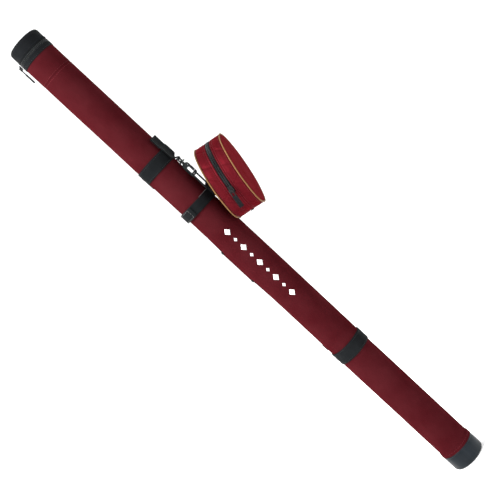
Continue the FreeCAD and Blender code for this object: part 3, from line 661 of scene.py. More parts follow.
def make_band(node):
    low, high = low_high(node)
    outer = outer_radius(node)
    width = high - low
    angles = np.linspace(0, TAU, 150, endpoint=False)
    mid = outer - WEBBING_THICKNESS / 2 + 0.06 * MM * np.sin(7 * angles) + 0.05 * MM * np.sin(3 * angles + 1)
    lift = 0.25 * MM * np.sin(2 * angles + low * 40)
    centre, normal = around_axis(angles, mid, (low + high) / 2 + lift)
    across = np.tile([0.0, 0.0, 1.0], (len(angles), 1))
    band = ribbon(node + "_webbing", centre, across, normal, width, WEBBING_THICKNESS, webbing, closed=True)
    add(band, "case", "webbing", node)
    reach = outer + STITCH_PROUD
    lines = [circle_stitches("s", reach, z, black_thread) for z in (low + 2 * MM, high - 2 * MM)]
    turn = handle_azimuth + math.radians(70)
    x, y = 9 * MM, 7 * MM
    crossed_box = even([(-x, -y), (x, -y), (x, y), (-x, y), (-x, -y), (x, y), (x, -y), (-x, y)], MM)
    sewn = around_axis(turn + crossed_box[:, 0] / outer, reach, (low + high) / 2 + crossed_box[:, 1])
    lines.append(stitch_line("s", *sewn, black_thread))
    add(join_pieces(node + "_stitches", lines), "case", "webbing")


# ---------------------------------------------------------------- mouth, zip and lid
ZIP_START = lid_hinge_azimuth + LID_HINGE_HALF_ARC
ZIP_SWEEP = TAU - 2 * LID_HINGE_HALF_ARC
COIL_PITCH = 1.25 * MM


def coil_row(name, radius, height, inward, start, sweep, material, matrix=None, offset=0.0):
    """One side of a nylon coil zip: short bars across the tape with a head at the joining line."""
    count = int(sweep * radius / COIL_PITCH)
    angles = start + sweep * (np.arange(count) + 0.5 + offset) / count
    bar = 2.4 * MM
    outward = np.stack([np.cos(angles), np.sin(angles), 0 * angles], axis=1)
    middle = outward * radius + np.array([0, 0, height + inward * bar * 0.42])
    along = np.tile([0.0, 0.0, 1.0], (count, 1))
    if matrix is not None:
        turn = np.array(matrix)[:3, :3]
        middle, along, outward = placed(middle, matrix), along @ turn.T, outward @ turn.T
    return beads(name, middle, along, outward, bar, 0.42 * MM, material, dip=0.9)


def ring_profile(inner, outer, low, high, edge):
    return [(inner, low), (outer - edge, low), (outer - edge * 0.3, low + edge * 0.3), (outer, low + edge),
            (outer, high - edge), (outer - edge * 0.3, high - edge * 0.3), (outer - edge, high),
            (inner, high)]


def make_mouth():
    low, high = low_high("mouth_binding")
    outer = outer_radius("mouth_binding")
    inner = outer - 0.6 * MM

    def binding_bend(angle, radius, height):
        return np.where(radius > inner + 0.2 * MM, 0.1 * MM * np.sin(40 * angle + 3 * np.sin(4 * angle)), 0)

    profile = ring_profile(inner, outer, low, high, 0.3 * MM)
    binding = revolve("mouth_binding_cloth", even(profile + profile[:1], MM)[:-1], black_cloth,
                      bend=binding_bend,
                      step=1.2 * MM)
    add(binding, "case", "black_cloth", "mouth_binding")
    add(circle_stitches("mouth_binding_stitches", outer + 0.02 * MM, low + 1.5 * MM, black_thread), "case",
        "black_cloth")
    for node, body in (("lid_zip_lower_tape", "case"), ("lid_zip_upper_tape", "lid")):
        low, high = low_high(node)
        tape_r = tube_r + 0.9 * MM
        tape = revolve(node + "_cloth", ring_profile(tape_r - 0.8 * MM, tape_r, low, high, 0.2 * MM),
                       zip_tape,
                       start=ZIP_START, sweep=ZIP_SWEEP, step=1.2 * MM)
        add(tape, body, "zip_tape", node)
    rows = (("lid_zip_lower_teeth", "case", -1, 0.0), ("lid_zip_upper_teeth", "lid", 1, 0.5))
    for node, body, side, offset in rows:
        row = coil_row(node + "_coil", tube_r + 1.25 * MM, zip_z + side * 0.15 * MM, side, ZIP_START,
                       ZIP_SWEEP,
                       coil_plastic, offset=offset)
        add(row, body, "zip_coil", node)


def make_lid():
    low, high = low_high("lid_cover")
    outer = outer_radius("lid_cover")
    corner = 5 * MM
    arc = [(outer - corner + corner * math.cos(a), high - corner + corner * math.sin(a))
           for a in np.linspace(0, math.pi / 2, 12)]
    inner = tube_r + 0.05 * MM
    top = high - 1.15 * MM
    crown = even([(outer - corner, high), (0.3 * MM, high)], 2.5 * MM)[1:]
    inside = [(0.3 * MM, top), (inner - corner, top), (inner - MM, top - 1.4 * MM), (inner, top - 4 * MM),
              (inner, low)]
    wall = even([(outer - 0.2 * MM, low), (outer, low + 0.3 * MM), (outer, high - corner)], 1.5 * MM)

    def lid_bend(angle, radius, height):
        wall_part = (radius > inner + 0.4 * MM) & (height < high - corner)
        return np.where(wall_part, 0.14 * MM * ripple(angle, height, 0.02), 0)

    cover = revolve("lid_cover_cloth", np.vstack([wall, arc[1:], crown, inside]), black_cloth, step=1.2 * MM,
                    bend=lid_bend)
    add(cover, "lid", "black_cloth", "lid_cover")
    ring_z = high - corner * 0.55
    add(circle_stitches("lid_top_stitches", outer - corner * 0.12, ring_z - 1.4 * MM, black_thread), "lid",
        "black_cloth")
    low, high = low_high("lid_binding")
    rim = outer_radius("lid_binding")
    binding = revolve("lid_binding_cloth", ring_profile(outer - 0.1 * MM, rim, low, high, 0.25 * MM),
                      black_cloth,
                      step=1.2 * MM)
    add(binding, "lid", "black_cloth", "lid_binding")
    low, high = low_high("lid_pad")
    pad_r = outer_radius("lid_pad") - 0.1 * MM
    crown = [(pad_r * math.cos(a), low + 0.5 * MM - 1.3 * MM * math.sin(a))
             for a in np.linspace(0, math.pi / 2, 9)[:-1]]
    pad = revolve("lid_pad_foam", crown + [(0.3 * MM, low - 0.8 * MM), (0.3 * MM, high), (pad_r, high)], foam,
                  step=2 * MM)
    add(pad, "lid", "foam", "lid_pad")


LINING_SEAM = math.radians(100)       # azimuth of the felt's butt seam


def make_lining():
    """Felt sleeve inside the tube, with a butt seam down the back and a softened edge at the mouth."""
    low, high = low_high("tube_lining")
    outer = outer_radius("tube_lining") - 0.05 * MM
    inner = outer - 0.95 * MM
    edge = 0.35 * MM
    inner_wall = even([(inner, high - edge), (inner, low)], 6 * MM)
    profile = [(outer, low), (outer, high - edge), (outer - edge, high),
               (inner + edge, high)] + list(inner_wall)

    def felt_bend(angle, radius, height):
        on_face = radius < inner + 0.1 * MM
        seam = near_angle(angle, LINING_SEAM, 0.035)
        return np.where(on_face, 0.3 * MM * seam - 0.08 * MM * ripple(angle, height, 0.03), 0)

    lining = revolve("tube_lining_felt", profile, felt, step=1.5 * MM, bend=felt_bend)
    add(lining, "case", "felt", "tube_lining")


def make_base_pad():
    """Crowned foam disc at the bottom of the tube."""
    low, high = low_high("base_pad")
    pad_r = outer_radius("base_pad") - 0.1 * MM
    crown = [(pad_r * math.cos(a), high - 1.6 * MM + 1.5 * MM * math.sin(a))
             for a in np.linspace(0, math.pi / 2, 14)[:-1]]
    profile = [(pad_r, low)] + crown + [(0.3 * MM, high - 0.1 * MM), (0.3 * MM, low)]
    pad = revolve("base_pad_foam", profile, foam, step=2 * MM)
    add(pad, "case", "foam", "base_pad")


def make_lid_hinge():
    low, high = low_high("lid_hinge_panel")
    inner = tube_r + 0.12 * MM
    outer = tube_r + 1.5 * MM
    profile = even([(inner, low), (outer - 0.3 * MM, low), (outer, low + 0.5 * MM),
                    (outer - 0.25 * MM, zip_z),
                    (outer, high - 0.5 * MM), (outer - 0.3 * MM, high), (inner, high)], 0.8 * MM)
    panel = revolve("lid_hinge_cloth", profile, black_cloth, start=lid_hinge_azimuth - LID_HINGE_HALF_ARC,
                    sweep=2 * LID_HINGE_HALF_ARC, step=MM)
    add_across(panel, "lid_hinge_panel")


# ---------------------------------------------------------------- carry handle
def make_handle():
    bars = {node: low_high(node) for node in ("upper_handle_ring", "lower_handle_ring")}
    wire = 1.6 * MM
    wrap = wire + WEBBING_HALF
    grip_low, grip_high = low_high("handle_grip")
    bow_r = handle_ring_r + 10.6 * MM
    width = 25 * MM
    upper_bar = bars["upper_handle_ring"][0] + wire
    lower_bar = bars["lower_handle_ring"][1] - wire
    turns = np.linspace(math.radians(-75), math.radians(250), 22)
    upper_loop = wrap_round(handle_ring_r, upper_bar, wrap, turns[::-1])
    lower_loop = wrap_round(handle_ring_r, lower_bar, wrap, turns, -1)
    near_r = handle_ring_r + 1.2 * MM
    outer_run = [(near_r, upper_bar - 12 * MM), (bow_r - 1.5 * MM, grip_high + 14 * MM), (bow_r, grip_high),
                 (bow_r, grip_low), (bow_r - 1.5 * MM, grip_low - 14 * MM), (near_r, lower_bar + 12 * MM)]
    strap = swept_strap("handle_webbing", upper_loop[:-4] + outer_run + lower_loop[4:], 40 * MM, 2.2 * MM,
                        handle_azimuth, width, WEBBING_THICKNESS)
    add(strap, "handle", "webbing", "handle_strap")
    lines = []
    radial, side = directions(handle_azimuth)
    for bar_z, direction in ((upper_bar, -1), (lower_bar, 1)):
        for offset in (14 * MM, 20 * MM):
            share = offset / (grip_high - upper_bar if direction < 0 else grip_low - lower_bar) * direction
            r = handle_ring_r + abs(share) * (bow_r - handle_ring_r) + 0.9 * MM
            ends = [radial * (r + 0.2 * MM) + side * t + np.array([0, 0, bar_z + direction * offset])
                    for t in (-10 * MM, 10 * MM)]
            row = even(ends, MM)
            lines.append(stitch_line("s", row, np.tile(radial, (len(row), 1)), black_thread))
    add(join_pieces("handle_stitches", lines), "handle", "webbing")
    make_grip(bow_r, grip_low, grip_high)
    for node in bars:
        set_material(node, black_metal)
    make_ring_tabs(bars, wire, width)


def make_grip(bow_r, low, high):
    """The padded sleeve round the middle of the handle, with bound ends."""
    half_width, half_depth = 13.2 * MM, 4.1 * MM
    count, rows = 56, 70
    turn = np.linspace(0, TAU, count, endpoint=False)
    z = np.linspace(low, high, rows)
    share = (z - low) / (high - low)
    ends = np.clip(np.minimum(share, 1 - share) / 0.09, 0, 1)
    swell = 0.80 + 0.20 * np.sqrt(np.clip(1 - (1 - ends) ** 2, 0, 1))
    crease = 1 + 0.018 * np.sin(share * 34) * np.sin(share * math.pi)
    power = 0.62
    x = np.sign(np.cos(turn)) * np.abs(np.cos(turn)) ** power
    y = np.sign(np.sin(turn)) * np.abs(np.sin(turn)) ** power
    radial, side = directions(handle_azimuth)
    body = (bow_r * radial)[None, None, :] + (x[:, None] * half_depth * swell * crease)[:, :, None] * radial \
        + (y[:, None] * half_width * (0.94 + 0.06 * swell))[:, :, None] * side
    body = body + (z[None, :, None] * np.array([0, 0, 1.0]))
    around = np.linspace(0, 70 * MM, count + 1)
    uv = np.stack(np.meshgrid(np.append(z, high), around), axis=2)
    grip = grid("handle_grip_pad", body, uv, burgundy, wrap_rows=True, cap_columns=True)
    add(grip, "handle", "burgundy_cloth", "handle_grip")
    bindings = []
    for centre_z in (low + 2.2 * MM, high - 2.2 * MM):
        zs = np.array([centre_z - 2.4 * MM, centre_z - 1.8 * MM, centre_z, centre_z + 1.8 * MM,
                       centre_z + 2.4 * MM])
        proud = np.array([0.1, 0.5, 0.6, 0.5, 0.1]) * MM
        depth = half_depth * 0.97 + proud
        width = half_width * 0.99 + proud
        ring = (bow_r * radial)[None, None, :] + (x[:, None] * depth)[:, :, None] * radial \
            + (y[:, None] * width)[:, :, None] * side + zs[None, :, None] * np.array([0, 0, 1.0])
        ring_uv = np.stack(np.meshgrid(np.append(zs, zs[-1]), around), axis=2)
        bindings.append(grid("b", ring, ring_uv, black_cloth, wrap_rows=True, cap_columns=True))
    add(join_pieces("handle_grip_bindings", bindings), "handle", "black_cloth")


def make_ring_tabs(bars, wire, width):
    """Webbing loops sewn on the two bands that hold the handle's rings."""
    wrap = wire + SOFT_GAP + WEBBING_HALF
    for node, ring, direction in (("upper_ring_tab", "upper_handle_ring", 1),
                                  ("lower_ring_tab", "lower_handle_ring", -1)):
        bar_z = bars[ring][1] - wire if direction > 0 else bars[ring][0] + wire
        face_r = outer_radius("upper_band") + WEBBING_HALF
        end_z = bar_z + direction * 13 * MM
        turns = np.linspace(math.radians(-200), math.radians(20), 16)
        loop = wrap_round(handle_ring_r, bar_z, wrap, turns, direction)
        back_leg = [(handle_ring_r + 1.6 * MM, bar_z + direction * 2.4 * MM),
                    (face_r + 1.5 * MM, bar_z + direction * 6.5 * MM), (face_r + 1.35 * MM, end_z)]
        route = [(face_r, end_z), (face_r, bar_z + direction * 4.5 * MM)] + loop[:-1] + back_leg
        tab = swept_strap(node + "_webbing", route, 2 * MM, 1.0 * MM, handle_azimuth, width - 1.5 * MM,
                          SEWN_THICKNESS)
        add_across(tab, node)


# ---------------------------------------------------------------- hook tab, hook and link
TAB_WIDTH = 20 * MM
TAB_NECK_WIDTH = 5 * MM


def make_hook_tab():
    band_low, band_high = bands["upper_band"]
    band_r = outer_radius("upper_band")
    top = low_high("hook_tab")[1]
    eye_z = low_high("swivel_eye")[1] - EYE_WIRE
    half = WEBBING_HALF
    turns = np.linspace(math.radians(60), math.radians(-215), 18)
    loop = wrap_round(chain_r, eye_z, EYE_WIRE + SOFT_GAP + WEBBING_HALF, turns)
    route = [(cover_r + half, top), (cover_r + half, band_high + 3.2 * MM),
             (band_r + half, band_high - 0.5 * MM),
             (band_r + half, band_low + 2 * MM), (band_r + 1.2 * MM, band_low - 0.5 * MM)] + loop
    smooth = rounded_route(route, 2.5 * MM, 1.0 * MM)
    centre, across, normal = side_frames(smooth, chain_azimuth)
    taper = np.clip((centre[:, 2] - (eye_z + 3.5 * MM)) / (6 * MM), 0, 1)
    width = TAB_NECK_WIDTH + (TAB_WIDTH - TAB_NECK_WIDTH) * taper * taper * (3 - 2 * taper)
    section = ribbon_section(1.0, 0.0, 12)
    section[:, 1] = ribbon_section(TAB_WIDTH, WEBBING_THICKNESS, 12)[:, 1]
    offset = section[:, 0][:, None] * width[None, :]
    radius = centre[:, 0] * math.cos(chain_azimuth) + centre[:, 1] * math.sin(chain_azimuth)
    hug = (radius[None, :] - np.sqrt(np.maximum(radius[None, :] ** 2 - offset ** 2, 0))) * taper[None, :]
    points = (centre[None, :, :] + offset[:, :, None] * across[None, :, :]
              + (section[:, 1][:, None] - hug)[:, :, None] * normal[None, :, :])
    along = run_lengths(centre)
    around = run_lengths(np.vstack([section, section[:1]]) * np.array([TAB_WIDTH, 1.0]))
    uv = np.stack(np.meshgrid(along, around), axis=2)
    tab = grid("hook_tab_webbing", points, uv, webbing, wrap_rows=True, cap_columns=True)
    add(tab, "case", "webbing", "hook_tab")
    box = [(-8, 3.5), (8, 3.5), (8, 18), (-8, 18), (-8, 3.5), (8, 18), (8, 3.5), (-8, 18)]
    line = even([(x * MM, y * MM) for x, y in box], MM)
    reach = cover_r + 1.33 * MM
    sewn = around_axis(chain_azimuth + line[:, 0] / reach, reach, band_high + line[:, 1])
    add(stitch_line("hook_tab_stitches", *sewn, black_thread), "case", "webbing")


def finish_metal():
    for node in ("swivel_eye", "snap_hook", "hook_gate", "link_ring", "lid_zip_slider", "lid_pull_link",
                 "pouch_zip_slider", "pouch_pull_link"):
        set_material(node, black_metal)
    for node, material in (("gate_pin", bright_metal), ("inner_tube", tube_plastic),
                           ("lid_shell", tube_plastic),
                           ("lid_pull_grip", pull_rubber), ("pouch_pull_grip", pull_rubber)):
        set_material(node, material)


def set_material(node, material):
    data = frame["nodes"][node].data
    data.materials.clear()
    data.materials.append(material)


# ---------------------------------------------------------------- pouch strap and loops
STRAP_THICKNESS = 1.6 * MM
STRAP_BULGE_RADIUS = 15 * MM
STRAP_GAP = 0.3 * MM               # strap to the cover


def strap_outline(extra, step=1.5 * MM):
    """The strap's closed outline seen from above, in its own frame: round the tube, standing off at +X."""
    big = cover_r + STRAP_GAP + extra
    small = STRAP_BULGE_RADIUS + extra
    reach = cover_r + 4 * MM - STRAP_BULGE_RADIUS
    touch = math.acos((big - small) / reach)
    back = [(big * math.cos(a), big * math.sin(a)) for a in np.linspace(touch, TAU - touch, 90)]
    front = [(reach + small * math.cos(a), small * math.sin(a)) for a in np.linspace(-touch, touch, 40)]
    return even(back + front + back[:1], step)[:-1]


def make_strap():
    outline = strap_outline(STRAP_THICKNESS / 2)
    turn = np.array([[math.cos(pouch_azimuth), -math.sin(pouch_azimuth)],
                     [math.sin(pouch_azimuth), math.cos(pouch_azimuth)]])
    flat = outline @ turn.T
    flow = np.roll(flat, -1, axis=0) - np.roll(flat, 1, axis=0)
    flow /= np.linalg.norm(flow, axis=1)[:, None]
    normal = np.stack([flow[:, 1], -flow[:, 0], 0 * flow[:, 0]], axis=1)
    angle = np.arctan2(flat[:, 1], flat[:, 0])
    centre = np.column_stack([flat, (strap_low + strap_high) / 2 + 0.2 * MM * np.sin(2 * angle)])
    across = np.tile([0.0, 0.0, 1.0], (len(flat), 1))
    strap = ribbon("pouch_strap_webbing", centre, across, normal, strap_high - strap_low, STRAP_THICKNESS,
                   webbing,
                   closed=True)
    add(strap, "collar", "webbing", "pouch_strap")
    flap_r = cover_r + STRAP_GAP + STRAP_THICKNESS
    start, sweep = math.radians(-180), math.radians(68)
    angles = np.linspace(start, start + sweep, 60)
    lift = flap_r + 0.7 * MM + 0.5 * MM * np.clip((angles - (start + sweep * 0.85)) / (sweep * 0.15), 0,
                                                  1) ** 2
    centre, normal = around_axis(angles, lift, (strap_low + strap_high) / 2)
    flap = ribbon("strap_flap_webbing", centre, np.tile([0.0, 0.0, 1.0], (60, 1)), normal,
                  strap_high - strap_low,
                  1.4 * MM, webbing)
    add(flap, "collar", "webbing", "strap_flap")
    reach = flap_r + 1.42 * MM
    edges = (strap_low + 1.6 * MM, strap_high - 1.6 * MM)
    lines = [circle_stitches("s", reach, z, grey_thread, start, sweep * 0.84) for z in edges]
    for turn_at in (start + sweep * 0.82, start + sweep * 0.1):
        z = np.linspace(*edges, 16)
        lines.append(stitch_line("s", *around_axis(np.full_like(z, turn_at), reach, z), grey_thread))
    add(join_pieces("strap_flap_stitches", lines), "collar", "webbing")
    # Painted highlight: a row of pale grey strands along the strap's upper edge stands for a glint of light
    # there, not a real cord.
    glint_angles = np.linspace(math.radians(-72), math.radians(-28), 40)
    glint_r = cover_r + STRAP_GAP + STRAP_THICKNESS * 0.9
    glint_strands = spaced(*around_axis(glint_angles, glint_r, strap_high + 0.1 * MM), 1.3 * MM)
    add(beads("strap_edge_cord", *glint_strands, 1.7 * MM, 0.32 * MM, grey_thread, dip=0.1), "collar", "webbing")


def make_link_tab():
    bar_z = low_high("link_ring")[0] + LINK_WIRE
    turns = np.linspace(math.radians(-30), math.radians(215), 18)
    loop = wrap_round(chain_r, bar_z, LINK_WIRE + SMALL_GAP + WEBBING_HALF, turns)
    face_r = cover_r + 5.2 * MM
    route = [(face_r + 1.5 * MM, strap_low + 4 * MM), (face_r + 1.5 * MM, bar_z - 4.5 * MM)] + loop \
        + [(face_r, bar_z - 4 * MM), (face_r, strap_low + 2.5 * MM)]
    tab = swept_strap("link_tab_webbing", route, 1.5 * MM, 0.8 * MM, chain_azimuth, 10 * MM, SEWN_THICKNESS)
    add(tab, "collar", "webbing", "link_tab")


def make_belt_loop():
    low, high = low_high("belt_loop")
    near = cover_r + 1.2 * MM + WEBBING_HALF
    slope = math.tan(math.asin(-drum_out.z))
    back = drum_centre - drum_out * POUCH_DEPTH / 2
    reach = math.hypot(back.x, back.y)

    def on_back(z):
        return reach + (z - back.z) * slope - WEBBING_HALF

    top, bottom = high - 0.6 * MM, low + 0.6 * MM
    gap = 4.5 * MM
    route = [(on_back(strap_high - 2 * MM), strap_high - 2 * MM), (on_back(top), top),
             (near, strap_high + gap),
             (near, strap_low - gap), (on_back(bottom), bottom),
             (on_back(strap_low + 2 * MM), strap_low + 2 * MM)]
    loop = swept_strap("belt_loop_webbing", route, 4 * MM, 1.0 * MM, pouch_azimuth, 8.4 * MM, SEWN_THICKNESS,
                       shift=1.8 * MM)
    add_across(loop, "belt_loop")


# ---------------------------------------------------------------- round pouch
POUCH_ZIP_START = POUCH_HINGE_HALF_ARC
POUCH_ZIP_SWEEP = TAU - 2 * POUCH_HINGE_HALF_ARC
SLUMP_CENTRE = math.radians(22)


def near_angle(angle, centre, width):
    return hill(np.angle(np.exp(1j * (angle - centre))), width)


def drum_bend(angle, radius, height):
    """The pouch's soft outline: a flat at the bottom, a kink beside it, faint undulation elsewhere."""
    share = np.clip(radius / POUCH_RADIUS, 0, 1.1) ** 2
    out = -1.5 * MM * near_angle(angle, SLUMP_CENTRE, 0.30)
    out = out + 0.6 * MM * near_angle(angle, SLUMP_CENTRE + 0.55, 0.22)
    out = out + 0.35 * MM * np.sin(4 * angle + 0.7) + 0.25 * MM * np.sin(7 * angle + 2.0)
    return out * share


CREASES = (
    # angle from the hinge, turn per metre across the wall, width in radians, depth in mm
    (-0.95, 15.0, 0.034, -0.8), (-1.40, 7.0, 0.045, -0.6), (-1.9, 12.0, 0.030, -0.7),
    (-2.5, 17.0, 0.036, -0.7),
    (-0.45, 9.0, 0.034, -0.8), (0.15, 14.0, 0.030, -0.9), (0.6, 6.0, 0.036, -0.7), (1.2, 11.0, 0.040, -0.6),
    (1.9, 16.0, 0.034, -0.7), (2.6, 10.0, 0.036, -0.6), (-2.1, 22.0, 0.024, 0.3), (-1.15, 4.0, 0.030, 0.3),
    (-1.68, -8.0, 0.024, -0.4), (-0.72, -10.0, 0.022, -0.45), (-0.2, 21.0, 0.020, -0.5),
    (0.9, -7.0, 0.024, -0.4),
)


def wall_bend(angle, radius, height):
    """Drum outline with diagonal creases and small puckers along the piped seams on the side wall."""
    out = drum_bend(angle, radius, height)
    on_wall = np.clip((radius - 0.90 * POUCH_RADIUS) / (0.08 * POUCH_RADIUS), 0, 1)
    for centre, slant, width, depth in CREASES:
        out = out + depth * MM * near_angle(angle, centre + slant * height, width) * on_wall
    edge = hill(np.abs(height) - POUCH_DEPTH / 2 + 3 * MM, 2.4 * MM)
    out = out + 0.16 * MM * np.sin(95 * angle + 3 * np.sin(6 * angle)) * edge * on_wall
    return out


def pouch_cloth(side):
    """Outline of one cloth half in the drum frame, from the zip plane: disc, rim, wall, then inside."""
    face = POUCH_DEPTH / 2
    zip_edge = POUCH_ZIP_WIDTH / 2
    r = POUCH_RADIUS
    crown = 1.0 * MM
    dome_r = r - 2.6 * MM
    disc = [(dome_r * math.sin(a), face - 0.5 * MM + crown * math.cos(a) ** 0.8)
            for a in np.linspace(0.006, math.pi / 2 - 0.12, 26)]
    rim = [(r - 2.2 * MM, face - 0.1 * MM), (r - 1.5 * MM, face - 0.5 * MM), (r - 0.9 * MM, face - 1.1 * MM),
           (r - 0.6 * MM, face - 2.0 * MM), (r - 0.2 * MM, face - 2.9 * MM)]
    wall = even([(r, face - 3.6 * MM), (r + 0.35 * MM, (face + zip_edge) / 2), (r, zip_edge + 3.4 * MM),
                 (r - 0.35 * MM, zip_edge + 2.9 * MM), (r + 0.15 * MM, zip_edge + 2.0 * MM),
                 (r + 0.2 * MM, zip_edge + 0.7 * MM), (r - 0.2 * MM, zip_edge + 0.1 * MM)], 0.9 * MM)
    inner_r = r - POUCH_CLOTH + 0.2 * MM
    inside = even([(inner_r, zip_edge), (inner_r, face - POUCH_CLOTH), (0.3 * MM, face - POUCH_CLOTH)],
                  5 * MM)
    profile = np.vstack([disc, rim, wall, inside])
    if side < 0:
        profile = profile[::-1] * np.array([1, -1])
    return profile


def make_pouch():
    for side, body, cloth_node, piping_node in ((-1, "pouch", "pouch_back", "pouch_back_piping"),
                                                (1, "pouch_front_half", "pouch_front", "pouch_front_piping")):
        cloth = revolve(cloth_node + "_cloth", pouch_cloth(side), satin, step=1.1 * MM, bend=wall_bend,
                        matrix=DRUM)
        add(cloth, body, "pouch_satin", cloth_node)
        height = side * (POUCH_DEPTH / 2 - PIPING_INSET)
        circle = [(POUCH_RADIUS + 0.15 * MM + PIPING_SHOWN * math.cos(a), height + PIPING_SHOWN * math.sin(a))
                  for a in np.linspace(0, TAU, 12, endpoint=False)]
        piping = revolve(piping_node + "_cord", circle, gold, step=1.1 * MM, bend=drum_bend, matrix=DRUM)
        add(piping, body, "gold_piping", piping_node)
        zip_edge = side * POUCH_ZIP_WIDTH / 2
        lines = []
        for offset in (1.35 * MM, 3.9 * MM):
            lines.append(circle_stitches("s", POUCH_RADIUS + 0.25 * MM, zip_edge + side * offset, red_thread,
                                         matrix=DRUM, bend=wall_bend))
        lines.append(circle_stitches("s", POUCH_RADIUS + 0.1 * MM, height - side * 2.9 * MM, red_thread,
                                     matrix=DRUM, bend=wall_bend))
        add(join_pieces(cloth_node + "_stitches", lines), body, "pouch_satin")
        make_pouch_zip(side, body)
        make_pouch_pad(side, body)
    make_pouch_hinge()


def make_pouch_zip(side, body):
    word = "front" if side > 0 else "back"
    inner, outer = POUCH_RADIUS - POUCH_CLOTH, POUCH_RADIUS - 0.4 * MM
    low, high = sorted((side * 0.15 * MM, side * POUCH_ZIP_WIDTH / 2))
    tape = revolve("pouch_zip_" + word + "_tape_cloth", ring_profile(inner, outer, low, high, 0.2 * MM),
                   zip_tape,
                   start=POUCH_ZIP_START, sweep=POUCH_ZIP_SWEEP, step=1.2 * MM, bend=drum_bend, matrix=DRUM)
    add(tape, body, "zip_tape", "pouch_zip_" + word + "_tape")
    teeth = coil_row("pouch_zip_" + word + "_coil", POUCH_RADIUS + 0.2 * MM, side * 0.15 * MM, side,
                     POUCH_ZIP_START,
                     POUCH_ZIP_SWEEP, coil_plastic, matrix=DRUM, offset=0.5 if side > 0 else 0.0)
    add(teeth, body, "zip_coil", "pouch_zip_" + word + "_teeth")


def make_pouch_pad(side, body):
    word = "front" if side > 0 else "back"
    face = POUCH_DEPTH / 2 - POUCH_CLOTH - 0.05 * MM
    radius = POUCH_RADIUS - POUCH_CLOTH - 0.4 * MM
    edge = [(radius - 1.2 * MM + 1.2 * MM * math.cos(a), face - 1.2 * MM - 0.8 * MM * math.sin(a))
            for a in np.linspace(0, math.pi / 2, 6)]
    profile = np.array([(0.3 * MM, face), (radius, face)] + edge + [(0.3 * MM,
                                                                     face - 2.3 * MM)]) * np.array([1, side])
    if side < 0:
        profile = profile[::-1]
    pad = revolve("pouch_" + word + "_pad_cloth", profile, lining_cloth, step=2 * MM, bend=drum_bend,
                  matrix=DRUM)
    add(pad, body, "foam", "pouch_" + word + "_pad")


def make_pouch_hinge():
    half = POUCH_ZIP_WIDTH / 2 + 0.4 * MM
    inner, outer = POUCH_RADIUS - POUCH_CLOTH + 0.3 * MM, POUCH_RADIUS - 0.2 * MM
    profile = even([(inner, -half), (outer - 0.3 * MM, -half), (outer, -half + 0.6 * MM),
                    (outer - 0.3 * MM, 0),
                    (outer, half - 0.6 * MM), (outer - 0.3 * MM, half), (inner, half)], 0.7 * MM)
    panel = revolve("pouch_hinge_cloth", profile, satin, start=-POUCH_HINGE_HALF_ARC,
                    sweep=2 * POUCH_HINGE_HALF_ARC,
                    step=1.1 * MM, bend=drum_bend, matrix=DRUM)
    add_across(panel, "pouch_hinge_panel")


# ---------------------------------------------------------------- printed row on the front
def make_print():
    """A row of small plain diamonds along the front of the cover."""
    low, high = 345 * MM, 477 * MM
    half_width, half_length = 4.6 * MM, 5.6 * MM
    count = 9
    thickness = 0.10 * MM
    centre_azimuth = math.radians(-90)
    parts = []
    for k in range(count):
        z = low + half_length + (high - low - 2 * half_length) * k / (count - 1)
        size = 1.0 if k % 2 == 0 else 0.55
        steps = np.linspace(-1, 1, 9)
        outer, inner = [], []
        for s in steps:
            span = (1 - abs(s)) * half_length * size
            row_out, row_in = [], []
            for t in (-1, -0.34, 0.34, 1):
                a = centre_azimuth + s * half_width * size / cover_r
                h = z + t * span
                reach = cover_r + float(cover_bend(np.array(a), np.array(cover_r), np.array(h)))
                row_out.append(((reach + thickness) * math.cos(a), (reach + thickness) * math.sin(a), h))
                row_in.append(((reach - thickness) * math.cos(a), (reach - thickness) * math.sin(a), h))
            outer.append(row_out)
            inner.append(row_in)
        sheet = np.array([row_out + row_in[::-1] for row_out, row_in in zip(outer, inner)])
        uv = np.zeros((sheet.shape[0] + 1, sheet.shape[1] + 1, 2))
        parts.append(grid("p", sheet, uv, white_print, wrap_columns=True))
    add(join_pieces("front_print", parts), "case", "burgundy_cloth")


# ---------------------------------------------------------------- room, light and camera
BACKDROP_GLOW = 0.36
WORLD_LIGHT = 0.25
LAMPS = (
    # name, place, size, power
    ("key", (-1.2, -1.0, 2.1), 0.6, 105),
    ("fill", (1.9, -1.6, 1.2), 1.4, 4),
    ("rim", (-0.6, 1.3, 1.9), 1.0, 14),
)
CAMERA_LENS_MM = 76.83
CAMERA_TIP = math.radians(5)
CAMERA_ROLL = math.radians(47.14)
CAMERA_PLACE = (3.3 * MM, -1.447, 0.5643)


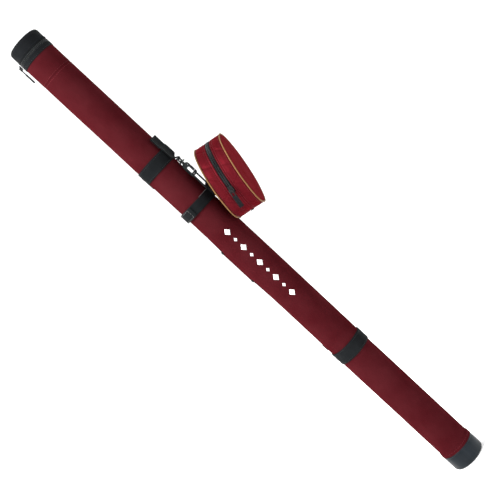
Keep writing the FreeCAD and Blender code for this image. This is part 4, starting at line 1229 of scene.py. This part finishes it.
def make_backdrop():
    """Pale floor running up into a round wall, the same from every side."""
    floor_r, bend_r, height = 6.0, 3.0, 12.0
    arc = [(floor_r + bend_r * math.sin(a), bend_r - bend_r * math.cos(a)) for a in np.linspace(0,
                                                                                                math.pi / 2,
                                                                                                24)]
    profile = [(0.01, 0.0), (1.0, 0.0)] + arc + [(floor_r + bend_r, height)]
    pale = Shader("pale_backdrop")
    tone = pale.blend_colours(pale.noise(3), (0.90, 0.90, 0.90), (0.92, 0.92, 0.92))
    paper = pale.finish(tone, 0.8, pale.bump(pale.noise(40), 0.05 * MM), Emission_Color=(1, 1, 1, 1),
                        Emission_Strength=BACKDROP_GLOW, Specular_IOR_Level=0.1)
    revolve("backdrop", profile, paper, step=0.3, closed=False)

def make_stage():
    make_backdrop()
    world = bpy.data.worlds.new("studio")
    world.use_nodes = True
    world.node_tree.nodes["Background"].inputs[0].default_value = (1, 1, 1, 1)
    world.node_tree.nodes["Background"].inputs[1].default_value = WORLD_LIGHT
    bpy.context.scene.world = world
    for name, place, size, power in LAMPS:
        lamp = bpy.data.lights.new(name, "AREA")
        lamp.size = size
        lamp.energy = power
        light = bpy.data.objects.new(name, lamp)
        light.location = place
        aim = Vector((0, 0, case_top / 2)) - Vector(place)
        light.rotation_mode = "QUATERNION"
        light.rotation_quaternion = aim.to_track_quat("-Z", "Y")
        bpy.context.scene.collection.objects.link(light)
    bpy.context.scene.view_settings.view_transform = "Standard"


def make_camera():
    """In front, tipped down a little and rolled so that the tube runs diagonally."""
    data = bpy.data.cameras.new("camera")
    data.sensor_width = 36
    data.lens = CAMERA_LENS_MM
    camera = bpy.data.objects.new("camera", data)
    tip, roll = CAMERA_TIP, CAMERA_ROLL
    forward = Vector((0, math.cos(tip), -math.sin(tip)))
    level_right, level_up = Vector((1, 0, 0)), Vector((0, math.sin(tip), math.cos(tip)))
    right = level_right * math.cos(roll) - level_up * math.sin(roll)
    up = level_right * math.sin(roll) + level_up * math.cos(roll)
    turn = Matrix((right, up, -forward)).transposed()
    camera.rotation_mode = "QUATERNION"
    camera.rotation_quaternion = turn.to_quaternion()
    camera.location = CAMERA_PLACE
    bpy.context.scene.collection.objects.link(camera)
    bpy.context.scene.camera = camera


make_cover()
make_hem()
make_base_cap()
for band_node in bands:
    make_band(band_node)
make_mouth()
make_lid()
make_lining()
make_base_pad()
make_lid_hinge()
make_handle()
make_hook_tab()
finish_metal()
make_strap()
make_link_tab()
make_belt_loop()
make_pouch()
make_print()
make_stage()
make_camera()
